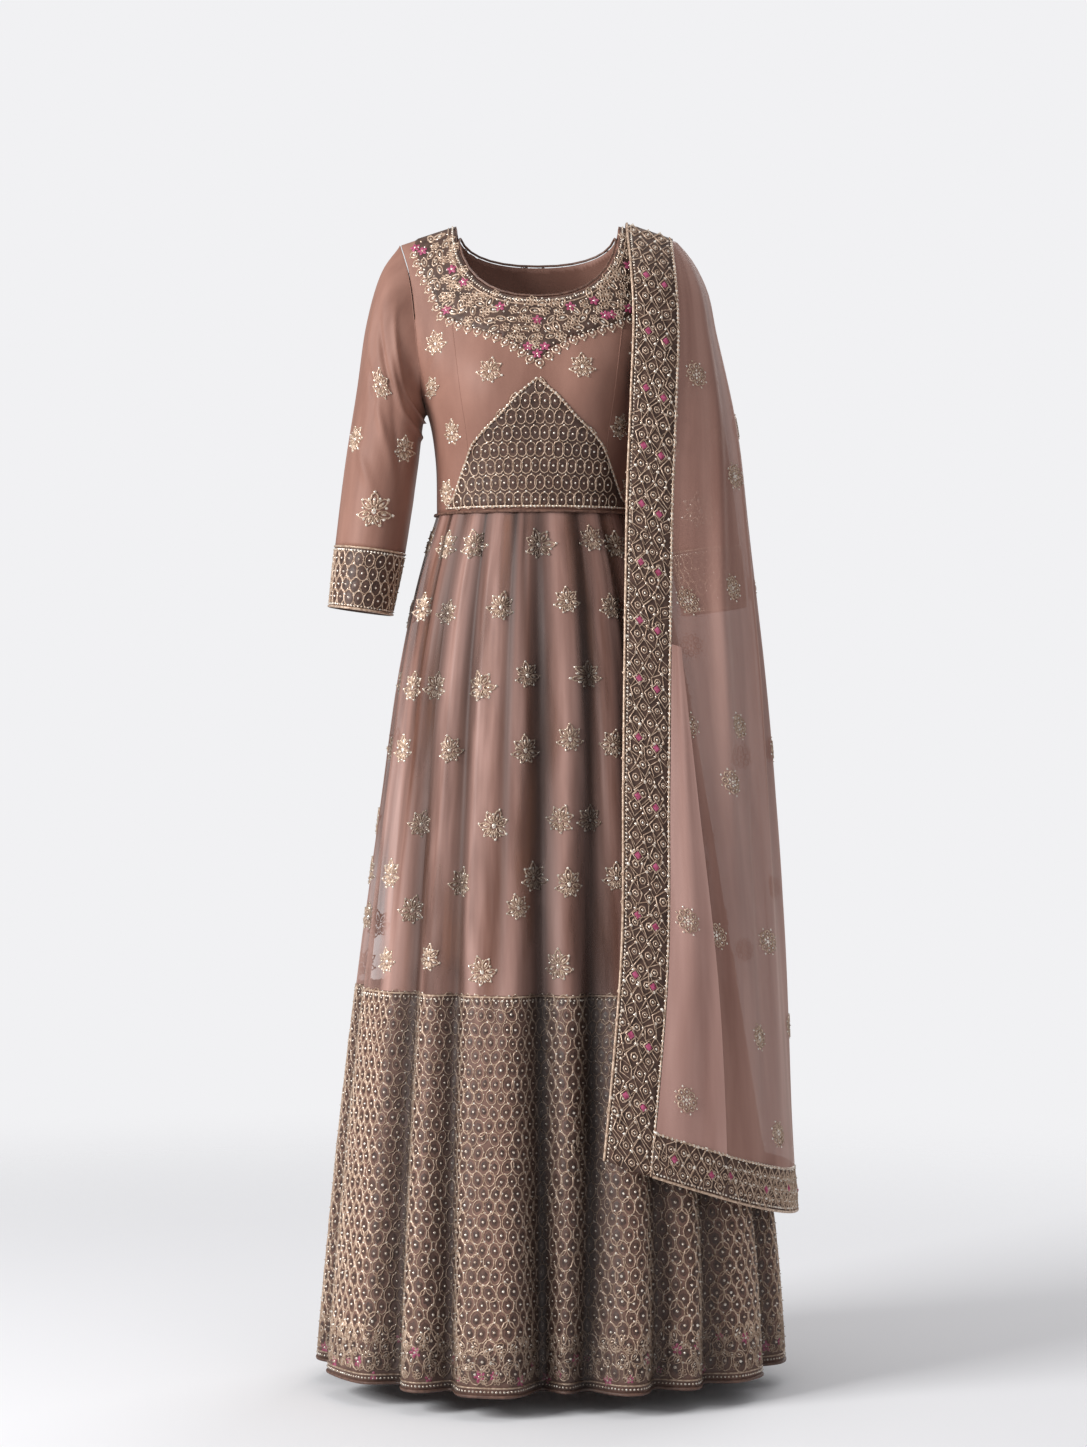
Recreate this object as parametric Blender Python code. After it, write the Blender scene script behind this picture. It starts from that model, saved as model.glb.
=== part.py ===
"""An anarkali gown, hollow as if worn, with its attached dupatta.

Metres, +Z up, the front faces -Y, and +X is the wearer's left. The origin is between the two
neck points of the shoulder seams, where the gown hangs from the shoulders of its wearer.
Each panel is a thin closed wall over a smooth surface, worked out from the short tables below.
"""
from math import cos, pi, radians, sin

import bmesh
import bpy
import numpy as np

# Driving dimensions
WAIST = -0.350            # height of the waist seam
BORDER_TOP = -0.917       # height where the embroidered hem border starts
HEM = -1.372              # height of the hem
LINING_HEM = -1.335       # height of the lining's hem
LINING_INSET = 0.0038     # from the skirt's section in to the lining, at the waist
LINING_TAPER = 0.064      # how much further in the lining is at the hem
LINING_GORES = 6
GAP = 0.0003              # between pieces at a seam
NET = 0.0012              # wall of the net and the bodice cloth
BORDER = 0.0016           # wall of the embroidered border
LINING = 0.0010           # wall of the satin lining
TRIM = 0.0012             # wall of an applique
CORD = 0.0030             # thickness of the neck piping and the waist cord
ABOVE = 0.05              # a level clear above the shoulders, for the cutters
NECK_X = 0.098            # neck point of the shoulder seam
SHOULDER_SLOPE = 0.35     # fall of the shoulder seam
FRONT_NECK = 0.096        # depth of the front neck
BACK_NECK = 0.040         # depth of the back neck
NECK_SQUARE = 2.35        # how square the neck curve is, where 2 is an ellipse
SEAM_AT = 0.5             # princess seam, as a share of the way from centre to side
UNDERARM = 0.80           # row of the bodice where the armhole ends
ROWS = (0.0, 0.1, 0.2, 0.35, 0.5, 0.65, 0.73, UNDERARM, 0.9, 1.0)
CENTRE = np.linspace(-SEAM_AT, SEAM_AT, 11)
SIDE = np.linspace(SEAM_AT, 1.0, 4)
BACK = np.concatenate((np.linspace(0, SEAM_AT, 6)[:-1], SIDE))


def table(names, *rows):
    """A short table as a dictionary of columns."""
    return dict(zip(names.split(), np.array(rows, float).T))


# Sections of the torso from the shoulder ridge (0) to the waist seam (1)
TORSO = table(
    "row half_width front back square",
    (0.00, 0.200, 0.000, 0.000, 2.5),
    (0.10, 0.199, 0.016, 0.018, 2.5),
    (0.20, 0.197, 0.031, 0.036, 2.5),
    (0.35, 0.191, 0.054, 0.062, 2.5),
    (0.50, 0.183, 0.076, 0.081, 2.5),
    (0.65, 0.165, 0.104, 0.093, 2.5),
    (0.73, 0.149, 0.122, 0.097, 2.5),
    (0.80, 0.1335, 0.128, 0.096, 2.4),
    (0.90, 0.1235, 0.108, 0.089, 2.2),
    (1.00, 0.1220, 0.095, 0.085, 2.0),
)
# How far from the centre the armhole seam lies at each row of the bodice
ARMHOLE = table(
    "row x",
    (0.00, 0.1670), (0.10, 0.1660), (0.20, 0.1630), (0.35, 0.1560),
    (0.50, 0.1495), (0.65, 0.1440), (0.73, 0.1395), (0.80, 0.1330),
)
# How far from the centre the princess seam lies, from the shoulder to the waist
PRINCESS = table(
    "row x",
    (0.00, 0.114), (0.35, 0.110), (0.65, 0.099), (0.78, 0.091), (0.88, 0.083), (1.00, 0.078),
)
# Sections of the skirt by height; left and right are as seen from the front
SKIRT = table(
    "z left right front back",
    (-1.372, 0.268, 0.300, 0.246, 0.252),
    (-1.210, 0.253, 0.287, 0.230, 0.236),
    (-1.068, 0.2385, 0.265, 0.212, 0.218),
    (-0.917, 0.2205, 0.240, 0.192, 0.197),
    (-0.694, 0.191, 0.203, 0.163, 0.163),
    (-0.523, 0.166, 0.172, 0.137, 0.134),
    (-0.415, 0.142, 0.145, 0.114, 0.108),
    (-0.350, 0.1225, 0.1225, 0.0955, 0.0855),
)
# The troughs between the skirt's large folds, turning from the front towards +X.
# Angle at waist and hem in degrees; depth at the hem in metres; half-width in degrees.
TROUGHS = table(
    "waist hem depth width",
    (-46, -42.5, 0.030, 4.6),
    (-30, -25.0, 0.030, 3.8),
    (0.5, 1.5, 0.052, 5.0),
    (22, 12.5, 0.044, 5.0),
    (38, 30.5, 0.030, 4.2),
    (54, 45.5, 0.026, 4.6),
    (76, 73, 0.036, 6.0),
    (106, 104, 0.030, 5.6),
    (133, 135, 0.040, 6.0),
    (160, 162, 0.026, 4.8),
    (190, 191, 0.044, 5.6),
    (218, 219, 0.030, 5.2),
    (247, 249, 0.038, 6.2),
    (279, 281, 0.030, 5.6),
)
# Sections of a sleeve from the armhole to the cuff: outer and inner edge, half-depth, lean forward
SLEEVE = table(
    "step outer_x outer_z inner_x inner_z half_depth forward",
    (1, 0.1900, -0.058, 0.1350, -0.2290, 0.059, 0.003),
    (2, 0.2075, -0.120, 0.1375, -0.2350, 0.064, 0.004),
    (3, 0.2190, -0.200, 0.1400, -0.2500, 0.064, 0.005),
    (4, 0.2330, -0.290, 0.1455, -0.2980, 0.060, 0.008),
    (5, 0.2446, -0.387, 0.1600, -0.3970, 0.055, 0.013),
    (6, 0.2520, -0.461, 0.1755, -0.4715, 0.050, 0.018),
)
CUFF_STEP = 5
# Sections of the dupatta from the shoulder (0) to its end (1)
DUPATTA = table(
    "row inner outer front back",
    (0.00, 0.1070, 0.1690, 0.012, 0.014),
    (0.02, 0.1075, 0.1890, 0.044, 0.046),
    (0.05, 0.1100, 0.2080, 0.072, 0.074),
    (0.10, 0.1130, 0.2215, 0.091, 0.089),
    (0.20, 0.1095, 0.2470, 0.113, 0.102),
    (0.30, 0.1050, 0.2600, 0.118, 0.104),
    (0.40, 0.1030, 0.2710, 0.124, 0.112),
    (0.60, 0.0995, 0.2870, 0.158, 0.160),
    (0.80, 0.0960, 0.3030, 0.188, 0.198),
    (0.90, 0.0870, 0.3100, 0.206, 0.214),
    (1.00, 0.0760, 0.3190, 0.222, 0.232),
)
DUPATTA_BORDER = 0.055    # width of the border along the dupatta's long edges
DUPATTA_END = 0.052       # height of the border across its end
DUPATTA_DROP = 1.15       # from the shoulder to the end of the dupatta
FALL_TOP = 0.0065         # height of its inner edge over the shoulder
FALL_SLOPE = 0.0205       # how much lower its outer fold starts
FRONT_END = -1.103        # height of the end's inner corner, in front
BACK_END = -1.190         # height of the end behind
LAYER = 0.004             # between two layers of a dupatta pleat
PLEAT_TOP = 0.38          # row where the pleat starts to open
PLEAT_IN = 0.056          # width in to the pleat's fold at the top
PLEAT_OPEN = 0.088        # how much wider it is at the end
PLEAT_TUCK = 0.10         # how far the next layer reaches in under the fold, in radians
SIDE_ANGLE = 1.9          # where the side stretch meets the back one, in radians
# Outline of the front neck yoke, from the centre out: its lower edge
YOKE_EDGE = table(
    "x z",
    (0.000, -0.177), (0.022, -0.158), (0.050, -0.142), (0.085, -0.130),
    (0.112, -0.117), (0.125, -0.086), (0.137, -0.062), (0.148, -0.030),
)
BACK_YOKE_EDGE = table(
    "x z",
    (0.000, -0.088), (0.040, -0.085), (0.080, -0.074), (0.110, -0.058), (0.132, -0.034),
    (0.140, -0.022),
)
# Outline of the pointed waist panel, from the centre out: its upper edge
ARCH = table(
    "x z",
    (0.000, -0.196), (0.023, -0.215), (0.045, -0.239), (0.062, -0.254),
    (0.076, -0.270), (0.090, -0.305), (0.099, -0.331), (0.108, -0.344),
)


def curve(rows, column, at):
    """A smooth value of a column at a value of the table's first column."""
    first = list(rows)[0]
    x, y = rows[first], rows[column]
    slope = np.gradient(y, x)
    i = int(np.clip(np.searchsorted(x, at) - 1, 0, len(x) - 2))
    width = x[i + 1] - x[i]
    t = min(max((at - x[i]) / width, 0.0), 1.0)
    ends = (1 + 2 * t) * (1 - t) ** 2 * y[i] + t * t * (3 - 2 * t) * y[i + 1]
    return ends + width * (t * (1 - t) ** 2 * slope[i] - t * t * (1 - t) * slope[i + 1])


def material(name, colour, roughness):
    """A cloth finish, with the colour given as sRGB hex."""
    mat = bpy.data.materials.new(name)
    mat.use_nodes = True
    channels = [int(colour[i:i + 2], 16) / 255 for i in (0, 2, 4)]
    linear = [((c + 0.055) / 1.055) ** 2.4 for c in channels]
    shader = mat.node_tree.nodes["Principled BSDF"]
    shader.inputs["Base Color"].default_value = (*linear, 1.0)
    shader.inputs["Roughness"].default_value = roughness
    shader.inputs["Metallic"].default_value = 0.0
    return mat


def add_solid(name, faces, mat, smooth=True):
    """One named object from a bmesh, which this frees."""
    bmesh.ops.remove_doubles(faces, verts=faces.verts, dist=1e-6)
    mesh = bpy.data.meshes.new(name)
    faces.to_mesh(mesh)
    faces.free()
    if smooth:
        mesh.shade_smooth()
        mesh.set_sharp_from_angle(angle=radians(50))
    mesh.materials.append(mat)
    piece = bpy.data.objects.new(name, mesh)
    bpy.context.collection.objects.link(piece)
    return piece


def unit(vectors):
    """The same vectors, each of length one."""
    return vectors / np.linalg.norm(vectors, axis=-1, keepdims=True)


def sample(surface, us, vs):
    """Points and unit normals of surface(u, v) over a grid of u and v."""
    step = 1e-4
    points = np.array([[surface(u, v) for v in vs] for u in us])
    across = np.array([[surface(u + step, v) - surface(u - step, v) for v in vs] for u in us])
    along = np.array([[surface(u, v + step) - surface(u, v - step) for v in vs] for u in us])
    return points, unit(np.cross(across, along))


def open_seams(points, normals, closed):
    """Draws the edges of a grid in by half a gap, so that two panels stay one gap apart."""
    drawn = points.copy()
    last = (slice(None), -1)
    edges = [((slice(None), 0), (slice(None), 1)), (last, (slice(None), -2))]
    if not closed:
        edges += [(0, 1), (-1, -2)]
    for edge, neighbour in edges:
        tangent = np.gradient(points[edge], axis=0)
        inward = unit(np.cross(normals[edge], tangent))
        facing = (inward * (points[neighbour] - points[edge])).sum(axis=-1, keepdims=True)
        drawn[edge] += inward * np.sign(facing) * GAP / 2
    return drawn


def wall(name, grid, thickness, mat, lift=0.0, closed=False):
    """A closed wall from a grid of points and outward normals.

    Its outer side lies `lift` out from the points, and its inner side `thickness` further in.
    A closed grid joins its last column to its first, as a sleeve does.
    """
    points, normals = grid
    points = open_seams(points, normals, closed)
    sides = [points + normals * lift, points + normals * (lift - thickness)]
    columns, rows = points.shape[:2]
    shell = bmesh.new()
    outer, inner = ([[shell.verts.new(p) for p in column] for column in side] for side in sides)

    def quad(a, b, c, d):
        shell.faces.new((a, b, c))
        shell.faces.new((a, c, d))

    for i in range(columns if closed else columns - 1):
        k = (i + 1) % columns
        for j in range(rows - 1):
            quad(outer[i][j], outer[k][j], outer[k][j + 1], outer[i][j + 1])
            quad(inner[i][j], inner[k][j], inner[k][j + 1], inner[i][j + 1])
        for j in (0, rows - 1):
            quad(outer[i][j], inner[i][j], inner[k][j], outer[k][j])
    if not closed:
        for i in (0, columns - 1):
            for j in range(rows - 1):
                quad(outer[i][j], inner[i][j], inner[i][j + 1], outer[i][j + 1])
    bmesh.ops.recalc_face_normals(shell, faces=shell.faces)
    return add_solid(name, shell, mat)


def tube(name, path, radius, mat, sides=5):
    """A closed cord along a closed path of points."""
    path = np.array(path)
    ahead = unit(np.roll(path, -1, axis=0) - np.roll(path, 1, axis=0))
    middle = path.mean(axis=0)
    out = path - middle
    out = unit(out - ahead * (out * ahead).sum(axis=1, keepdims=True))
    up = np.cross(ahead, out)
    cord = bmesh.new()
    rings = []
    for p, a, b in zip(path, out, up):
        turns = [2 * pi * s / sides for s in range(sides)]
        rings.append([cord.verts.new(p + radius * (cos(t) * a + sin(t) * b)) for t in turns])
    for ring, following in zip(rings, rings[1:] + rings[:1]):
        for s in range(sides):
            k = (s + 1) % sides
            cord.faces.new((ring[s], ring[k], following[k], following[s]))
    bmesh.ops.recalc_face_normals(cord, faces=cord.faces)
    bmesh.ops.triangulate(cord, faces=cord.faces)
    return add_solid(name, cord, mat)


# ---- Bodice ----

def ridge(x):
    """Height of the shoulder line over a point x from the centre."""
    soft = 0.05
    return -SHOULDER_SLOPE * ((x * x + soft * soft) ** 0.5 - (NECK_X ** 2 + soft * soft) ** 0.5)


def bust(x, z):
    """How far the cups stand out from the plain section."""
    return 0.009 * np.exp(-((abs(x) - 0.070) / 0.040) ** 2 - ((z + 0.205) / 0.055) ** 2)


def edge_angle(row):
    """How far round the section a half panel reaches: to the armhole, or to the side seam."""
    if row >= UNDERARM:
        return pi / 2
    reach = curve(ARMHOLE, "x", row) / curve(TORSO, "half_width", row)
    return float(np.arcsin(min(reach, 1.0)))


def round_angle(share, row):
    """How far round the section a share lies: 0 at the centre, 1 at the armhole or side seam."""
    seam = float(np.arcsin(curve(PRINCESS, "x", row) / curve(TORSO, "half_width", row)))
    return float(np.interp(abs(share), (0, SEAM_AT, 1), (0, seam, edge_angle(row)))) * np.sign(share)


def torso(angle, row, side):
    """A point of the torso. side is -1 for the front and 1 for the back."""
    row_in = min(max(abs(row), 0.0), 1.0)
    half = curve(TORSO, "half_width", row_in)
    depth = curve(TORSO, "front" if side * np.sign(row + 1e-9) < 0 else "back", row_in)
    x = half * sin(angle)
    z = ridge(x) + row * row * (WAIST - ridge(x))
    square = curve(TORSO, "square", row_in)
    fall = (1 - min(abs(sin(angle)), 1.0) ** square) ** 0.5 * np.sign(cos(angle) + 1e-12)
    y = side * np.sign(row + 1e-9) * depth * fall
    if side < 0:
        y -= bust(x, z) * fall
    return np.array((x, y, z))


def torso_at(x, z, side):
    """The point of the torso behind a place in the front view."""
    row = max((ridge(x) - z) / (ridge(x) - WAIST), 1e-6) ** 0.5
    half = curve(TORSO, "half_width", min(row, 1.0))
    return torso(float(np.arcsin(np.clip(x / half, -1, 1))), row, side)


def bodice_grid(shares, side):
    """Points and outward normals of the torso over a range of shares, from ridge to waist."""
    points, normals = [], []
    for share in shares:
        for row in ROWS:
            p, n = sample(lambda a, r: torso(a, r, side), [round_angle(share, row)], [row])
            points.append(p[0, 0])
            normals.append(n[0, 0] * side)
    shape = (len(shares), len(ROWS), 3)
    return np.reshape(points, shape), np.reshape(normals, shape)


def neck_curve(depth, spare=0.0, count=17):
    """Places on the neck edge from the right neck point to the left, in the front view."""
    places = []
    for turn in np.linspace(-pi / 2, pi / 2, count):
        x = np.sign(sin(turn)) * abs(sin(turn)) ** (2 / NECK_SQUARE)
        z = cos(turn) ** (2 / NECK_SQUARE)
        places.append((x * (NECK_X + spare), -z * (depth + spare)))
    return places


def prism(name, outline):
    """A cutter: an outline in the front view, drawn through the whole depth."""
    reach = 0.2
    cutter = bmesh.new()
    face = cutter.faces.new([cutter.verts.new((x, -reach, z)) for x, z in outline])
    drawn = bmesh.ops.extrude_face_region(cutter, geom=[face])["geom"]
    moved = [v for v in drawn if isinstance(v, bmesh.types.BMVert)]
    bmesh.ops.translate(cutter, verts=moved, vec=(0, 2 * reach, 0))
    bmesh.ops.recalc_face_normals(cutter, faces=cutter.faces)
    guide = add_solid(name, cutter, None, smooth=False)
    guide.hide_render = True
    guide.display_type = "WIRE"
    return guide


def cut(piece, guide, operation):
    """Cuts a wall to a guide, or the guide out of the wall."""
    modifier = piece.modifiers.new("outline", "BOOLEAN")
    modifier.operation = operation
    modifier.object = guide


def make_bodice(mat):
    """The five bodice panels, with the neck opening cut out of them."""
    over = [(NECK_X, ABOVE), (-NECK_X, ABOVE)]
    front_neck = prism("front_neck_guide", neck_curve(FRONT_NECK) + over)
    back_neck = prism("back_neck_guide", neck_curve(BACK_NECK) + over)
    cut(wall("bodice_front", bodice_grid(CENTRE, -1), NET, mat), front_neck, "DIFFERENCE")
    wall("bodice_side_front_left", bodice_grid(SIDE, -1), NET, mat)
    wall("bodice_side_front_right", bodice_grid(-SIDE[::-1], -1), NET, mat)
    for name, shares in (("bodice_back_left", BACK), ("bodice_back_right", -BACK[::-1])):
        cut(wall(name, bodice_grid(shares, 1), NET, mat), back_neck, "DIFFERENCE")


# ---- Bodice trims ----

def mirrored(edge):
    """A half edge from the centre out, as places from the left end to the right."""
    half = list(zip(edge["x"], edge["z"]))
    return half[::-1] + [(-x, z) for x, z in half[1:]]


def applique(name, shares, side, outline, mat):
    """A trim over a bodice panel: the panel's own points moved out, cut to an outline."""
    sheet = wall(name, bodice_grid(shares, side), TRIM, mat, lift=GAP + TRIM)
    cut(sheet, prism(name + "_guide", outline), "INTERSECT")


def make_appliques(mat):
    """The neck yokes, front and back, and the pointed waist panel."""
    front = np.concatenate((-SIDE[:0:-1], CENTRE, SIDE[1:]))
    back = np.concatenate((-BACK[:0:-1], BACK))
    edges = (
        ("neck_yoke_front", front, -1, YOKE_EDGE, FRONT_NECK),
        ("neck_yoke_back", back, 1, BACK_YOKE_EDGE, BACK_NECK),
    )
    spare = 0.0005
    for name, shares, side, edge, depth in edges:
        outer = mirrored(edge)
        ends = [(outer[-1][0], ABOVE), (-NECK_X - spare, ABOVE)]
        begins = [(NECK_X + spare, ABOVE), (outer[0][0], ABOVE)]
        applique(name, shares, side, outer + ends + neck_curve(depth, spare) + begins, mat)
    arch = mirrored(ARCH)
    base = WAIST + 0.003
    applique("waist_panel", front, -1, arch + [(arch[-1][0], base), (arch[0][0], base)], mat)


def make_cords(mat):
    """The piping round the neck edge and the cord over the waist seam."""
    clear = CORD / 2 + 2 * GAP
    path = []
    for side, depth in ((-1, FRONT_NECK), (1, BACK_NECK)):
        places = neck_curve(depth, -clear)[1:-1]
        path += [torso_at(x, z, side) for x, z in places[::-side]]
    tube("neck_piping", path, CORD / 2, mat)
    spare = 0.0009
    ring = [skirt(radians(turn), WAIST, clear + spare) for turn in range(0, 360, 12)]
    tube("waist_cord", ring, CORD / 2, mat)


# ---- Skirt ----

def skirt(angle, z, out=0.0):
    """A point of the skirt at an angle from the front towards +X, moved out by `out`."""
    side = "right" if sin(angle) > 0 else "left"
    width = curve_down(side, z)
    depth = curve_down("front" if cos(angle) > 0 else "back", z)
    fall = min(max((WAIST - z) / (WAIST - HEM), 0.0), 1.05)
    trough = 0.0
    for i in range(len(TROUGHS["hem"])):
        middle = radians(trough_angle(i, fall))
        away = (angle - middle + pi) % (2 * pi) - pi
        depth_here = 0.0012 + TROUGHS["depth"][i] * fall ** 1.25
        trough += depth_here * np.exp(-(away / radians(TROUGHS["width"][i])) ** 2)
    scale_x = width + out - trough
    scale_y = depth + out - trough
    return np.array((scale_x * sin(angle), -scale_y * cos(angle), z))


def curve_down(column, z):
    """A smooth value of the skirt's table at a height."""
    return curve(SKIRT, column, z)


def trough_angle(index, fall):
    """Where a trough lies, in degrees, at a share of the way from waist to hem."""
    start, end = TROUGHS["waist"][index], TROUGHS["hem"][index]
    return start + (end - start) * fall


def gore(index, share, z):
    """A point of one fold, a share of the way from its trough to the next one."""
    count = len(TROUGHS["hem"])
    fall = (WAIST - z) / (WAIST - HEM)
    start = trough_angle(index, fall)
    end = trough_angle((index + 1) % count, fall)
    return skirt(radians(start + ((end - start) % 360) * share), z)


def make_skirt(net, border):
    """The gores and, below each, its stretch of the hem border."""
    shares = [(1 - cos(pi * i / 6)) / 2 * 0.55 + i / 6 * 0.45 for i in range(7)]
    net_rows = [WAIST, -0.40, -0.48, -0.60, -0.76, BORDER_TOP]
    border_rows = [BORDER_TOP, -1.06, -1.21, HEM]
    under_seam = 0.0005
    for index in range(len(TROUGHS["hem"])):
        def surface(share, z, index=index):
            return gore(index, share, z)
        points, normals = sample(surface, shares, net_rows)
        points[:, 0, 2] -= under_seam
        wall(f"kali_{index + 1:02}", (points, normals), NET, net)
        points, normals = sample(surface, shares, border_rows)
        wall(f"border_{index + 1:02}", (points, normals), BORDER, border)


def lining(angle, z):
    """A point of the lining, a plain flared cone inside the folds."""
    fall = (WAIST - z) / (WAIST - HEM)
    inset = LINING_INSET + LINING_TAPER * fall
    side = "right" if sin(angle) > 0 else "left"
    width = curve_down(side, z) - inset
    depth = curve_down("front" if cos(angle) > 0 else "back", z) - inset
    return np.array((width * sin(angle), -depth * cos(angle), z))


def make_lining(mat):
    """The six gores of the satin lining."""
    rows = [WAIST - 0.004, -0.50, -0.76, -1.05, LINING_HEM]
    turn = 360 / LINING_GORES
    for index in range(LINING_GORES):
        angles = np.radians(turn * (index - 0.5 + np.linspace(0, 1, 5)))
        points, normals = sample(lining, angles, rows)
        wall(f"lining_{index + 1}", (points, normals), LINING, mat)


# ---- Sleeves ----

def armhole_ring(hand):
    """Points of the armhole from the shoulder down the front, under the arm and up the back."""
    rows = [r for r in ROWS if r <= UNDERARM]
    stops = [(r, -1) for r in rows] + [(r, 1) for r in rows[-2:0:-1]]
    points, normals = [], []
    for row, side in stops:
        p, n = sample(lambda a, r: torso(a, r, side), [hand * edge_angle(row)], [row])
        points.append(p[0, 0])
        normals.append(n[0, 0] * side)
    return np.array(points), np.array(normals)


def sleeve_ring(step, hand, turns):
    """One section of the sleeve at angles from its outer edge round by the front."""
    outer = np.array((curve(SLEEVE, "outer_x", step), 0, curve(SLEEVE, "outer_z", step)))
    inner = np.array((curve(SLEEVE, "inner_x", step), 0, curve(SLEEVE, "inner_z", step)))
    deep = np.array((0, -curve(SLEEVE, "half_depth", step), 0))
    lean = np.array((0, -curve(SLEEVE, "forward", step), 0))
    middle = (outer + inner) / 2
    ring = [middle + lean + (outer - middle) * cos(t) + deep * sin(t) for t in turns]
    return np.array(ring) * (hand, 1, 1)


def make_sleeve(hand, side, cloth, embroidered):
    """A sleeve and its cuff. hand is 1 on the wearer's left and -1 on the right."""
    seam, seam_normals = armhole_ring(hand)
    lowest = len(seam) // 2
    middle = (seam[0] + seam[lowest]) / 2
    axis = seam[0] - middle
    up = (seam - middle) @ axis / (axis @ axis)
    front = np.where(np.arange(len(seam)) <= lowest, 1, -1)
    turns = np.arccos(np.clip(up, -1, 1)) * front
    rings = [seam + np.array((hand * GAP, 0, 0))]
    rings += [sleeve_ring(step, hand, turns) for step in SLEEVE["step"]]
    points = np.array(rings).transpose(1, 0, 2)
    around = np.roll(points, -1, axis=0) - np.roll(points, 1, axis=0)
    down = np.gradient(points, axis=1)
    normals = unit(np.cross(around, down)) * hand
    near = np.array([(1 + cos(t)) / 2 for t in turns])[:, None]
    normals[:, 0] = unit(seam_normals * near + normals[:, 0] * (1 - near))
    cut = CUFF_STEP + 1
    upper = (points[:, :cut], normals[:, :cut])
    lower = (points[:, CUFF_STEP:], normals[:, CUFF_STEP:])
    wall(f"sleeve_{side}", upper, NET, cloth, closed=True)
    wall(f"cuff_{side}", lower, BORDER, embroidered, closed=True)


# ---- Dupatta ----

def fall_height(angle, row):
    """Height of the dupatta at an angle from its front inner edge round the arm."""
    out = sin(angle)
    top = FALL_TOP - FALL_SLOPE * out
    low = FRONT_END + (BACK_END - FRONT_END) * out if angle < pi / 2 else BACK_END
    return top + (low - top) * row


def drape(angle, row, inset=0.0):
    """A point of the dupatta: 0 is its front inner edge, a half turn its back inner edge."""
    inner, outer = curve(DUPATTA, "inner", row), curve(DUPATTA, "outer", row)
    depth = curve(DUPATTA, "front" if angle < pi / 2 else "back", row) - inset
    x = inner + (outer - inner - inset) * sin(angle)
    return np.array((x, -depth * cos(angle), fall_height(angle, row)))


def angle_at(width, row, back=False):
    """The angle of the dupatta at a width in from its inner edge."""
    room = curve(DUPATTA, "outer", row) - curve(DUPATTA, "inner", row)
    angle = float(np.arcsin(min(width / room, 0.98)))
    return pi - angle if back else angle


def pleat_angle(row):
    """The angle of the first pleat's fold, which opens from the border towards the end."""
    opened = max(row - PLEAT_TOP, 0) / (1 - PLEAT_TOP)
    return angle_at(PLEAT_IN + PLEAT_OPEN * opened, row)


def drape_strip(name, start, end, rows, count, mat, thickness, inset=0.0):
    """A stretch of the dupatta between two angles, each given as a function of the row."""
    def surface(share, row):
        angle = start(row) + (end(row) - start(row)) * share
        return drape(angle, row, inset)
    points, normals = sample(surface, np.linspace(0, 1, count), rows)
    wall(name, (points, -normals), thickness, mat)


def make_dupatta(net, border):
    """Each stretch of the dupatta that shows."""
    top = 0.004
    end_row = 1 - DUPATTA_END / DUPATTA_DROP
    low_rows = [0.45, 0.6, 0.78, end_row]
    arm_rows = [top, 0.02, 0.05, 0.1, 0.2]
    rows = arm_rows + [0.32] + low_rows
    below_arm = rows[len(arm_rows) - 1:]

    def strip_edge(row):
        return angle_at(min(DUPATTA_BORDER, 0.8 * (0.062 + row)), row)

    def back_edge(row):
        return pi - strip_edge(row)

    def side_end(row):
        return SIDE_ANGLE

    def hidden_edge(row):
        return max(pleat_angle(row) - PLEAT_TUCK, 0.03)

    drape_strip("dupatta_front_border", lambda r: 0.0, strip_edge, rows, 4, border, BORDER)
    drape_strip("dupatta_front", strip_edge, pleat_angle, low_rows, 4, net, NET)
    drape_strip("dupatta_side_upper", hidden_edge, side_end, arm_rows, 8, net, NET, LAYER)
    drape_strip("dupatta_side_lower", hidden_edge, side_end, below_arm, 8, net, NET, LAYER)
    drape_strip("dupatta_back", side_end, back_edge, rows, 5, net, NET, LAYER)
    drape_strip("dupatta_back_border", back_edge, lambda r: pi, rows, 4, border, BORDER, LAYER)
    ends = [end_row, 1.0]
    drape_strip("dupatta_end_front", lambda r: 0.0, pleat_angle, ends, 6, border, BORDER)
    drape_strip("dupatta_end_side", hidden_edge, side_end, ends, 8, border, BORDER, LAYER)
    drape_strip("dupatta_end_back", side_end, lambda r: pi, ends, 7, border, BORDER, LAYER)


def make_shoulder_fold(mat):
    """The gathered stretch of the dupatta over the shoulder seam, between the two falls."""
    inner, outer = DUPATTA["inner"][0], DUPATTA["outer"][0] - LAYER
    front, back = -0.0125, 0.0100          # how far the fold reaches each way at its inner end
    bow, thickness = 0.0022, 0.002
    columns = []
    for x in np.linspace(inner + 0.0005, 0.75 * outer + 0.25 * inner, 5):
        reach = (1 - ((x - inner) / (outer - inner)) ** 2) ** 0.5
        shares = np.linspace(front, back, 6)
        top = ridge(x) + FALL_TOP
        columns.append([(x, y * reach, top - bow * (y / front) ** 2) for y in shares])
    points = np.array(columns)
    slope = np.array((SHOULDER_SLOPE, 0, 1))
    normals = np.zeros_like(points) + unit(slope)
    wall("dupatta_shoulder", (points, normals), thickness, mat)


def build():
    for old in list(bpy.data.objects):
        bpy.data.objects.remove(old)
    satin = material("mauve_net_over_satin", "96705F", 0.5)
    net = material("mauve_net", "A5806F", 0.6)
    copper = material("copper_satin", "9A6A50", 0.35)
    zari = material("zari_embroidery", "B39A80", 0.45)
    cord = material("dark_piping", "5E443A", 0.6)
    make_bodice(satin)
    make_appliques(zari)
    make_cords(cord)
    make_skirt(net, zari)
    make_lining(copper)
    for hand, side in ((1, "left"), (-1, "right")):
        make_sleeve(hand, side, satin, zari)
    make_dupatta(net, zari)
    make_shoulder_fold(net)


build()
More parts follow.
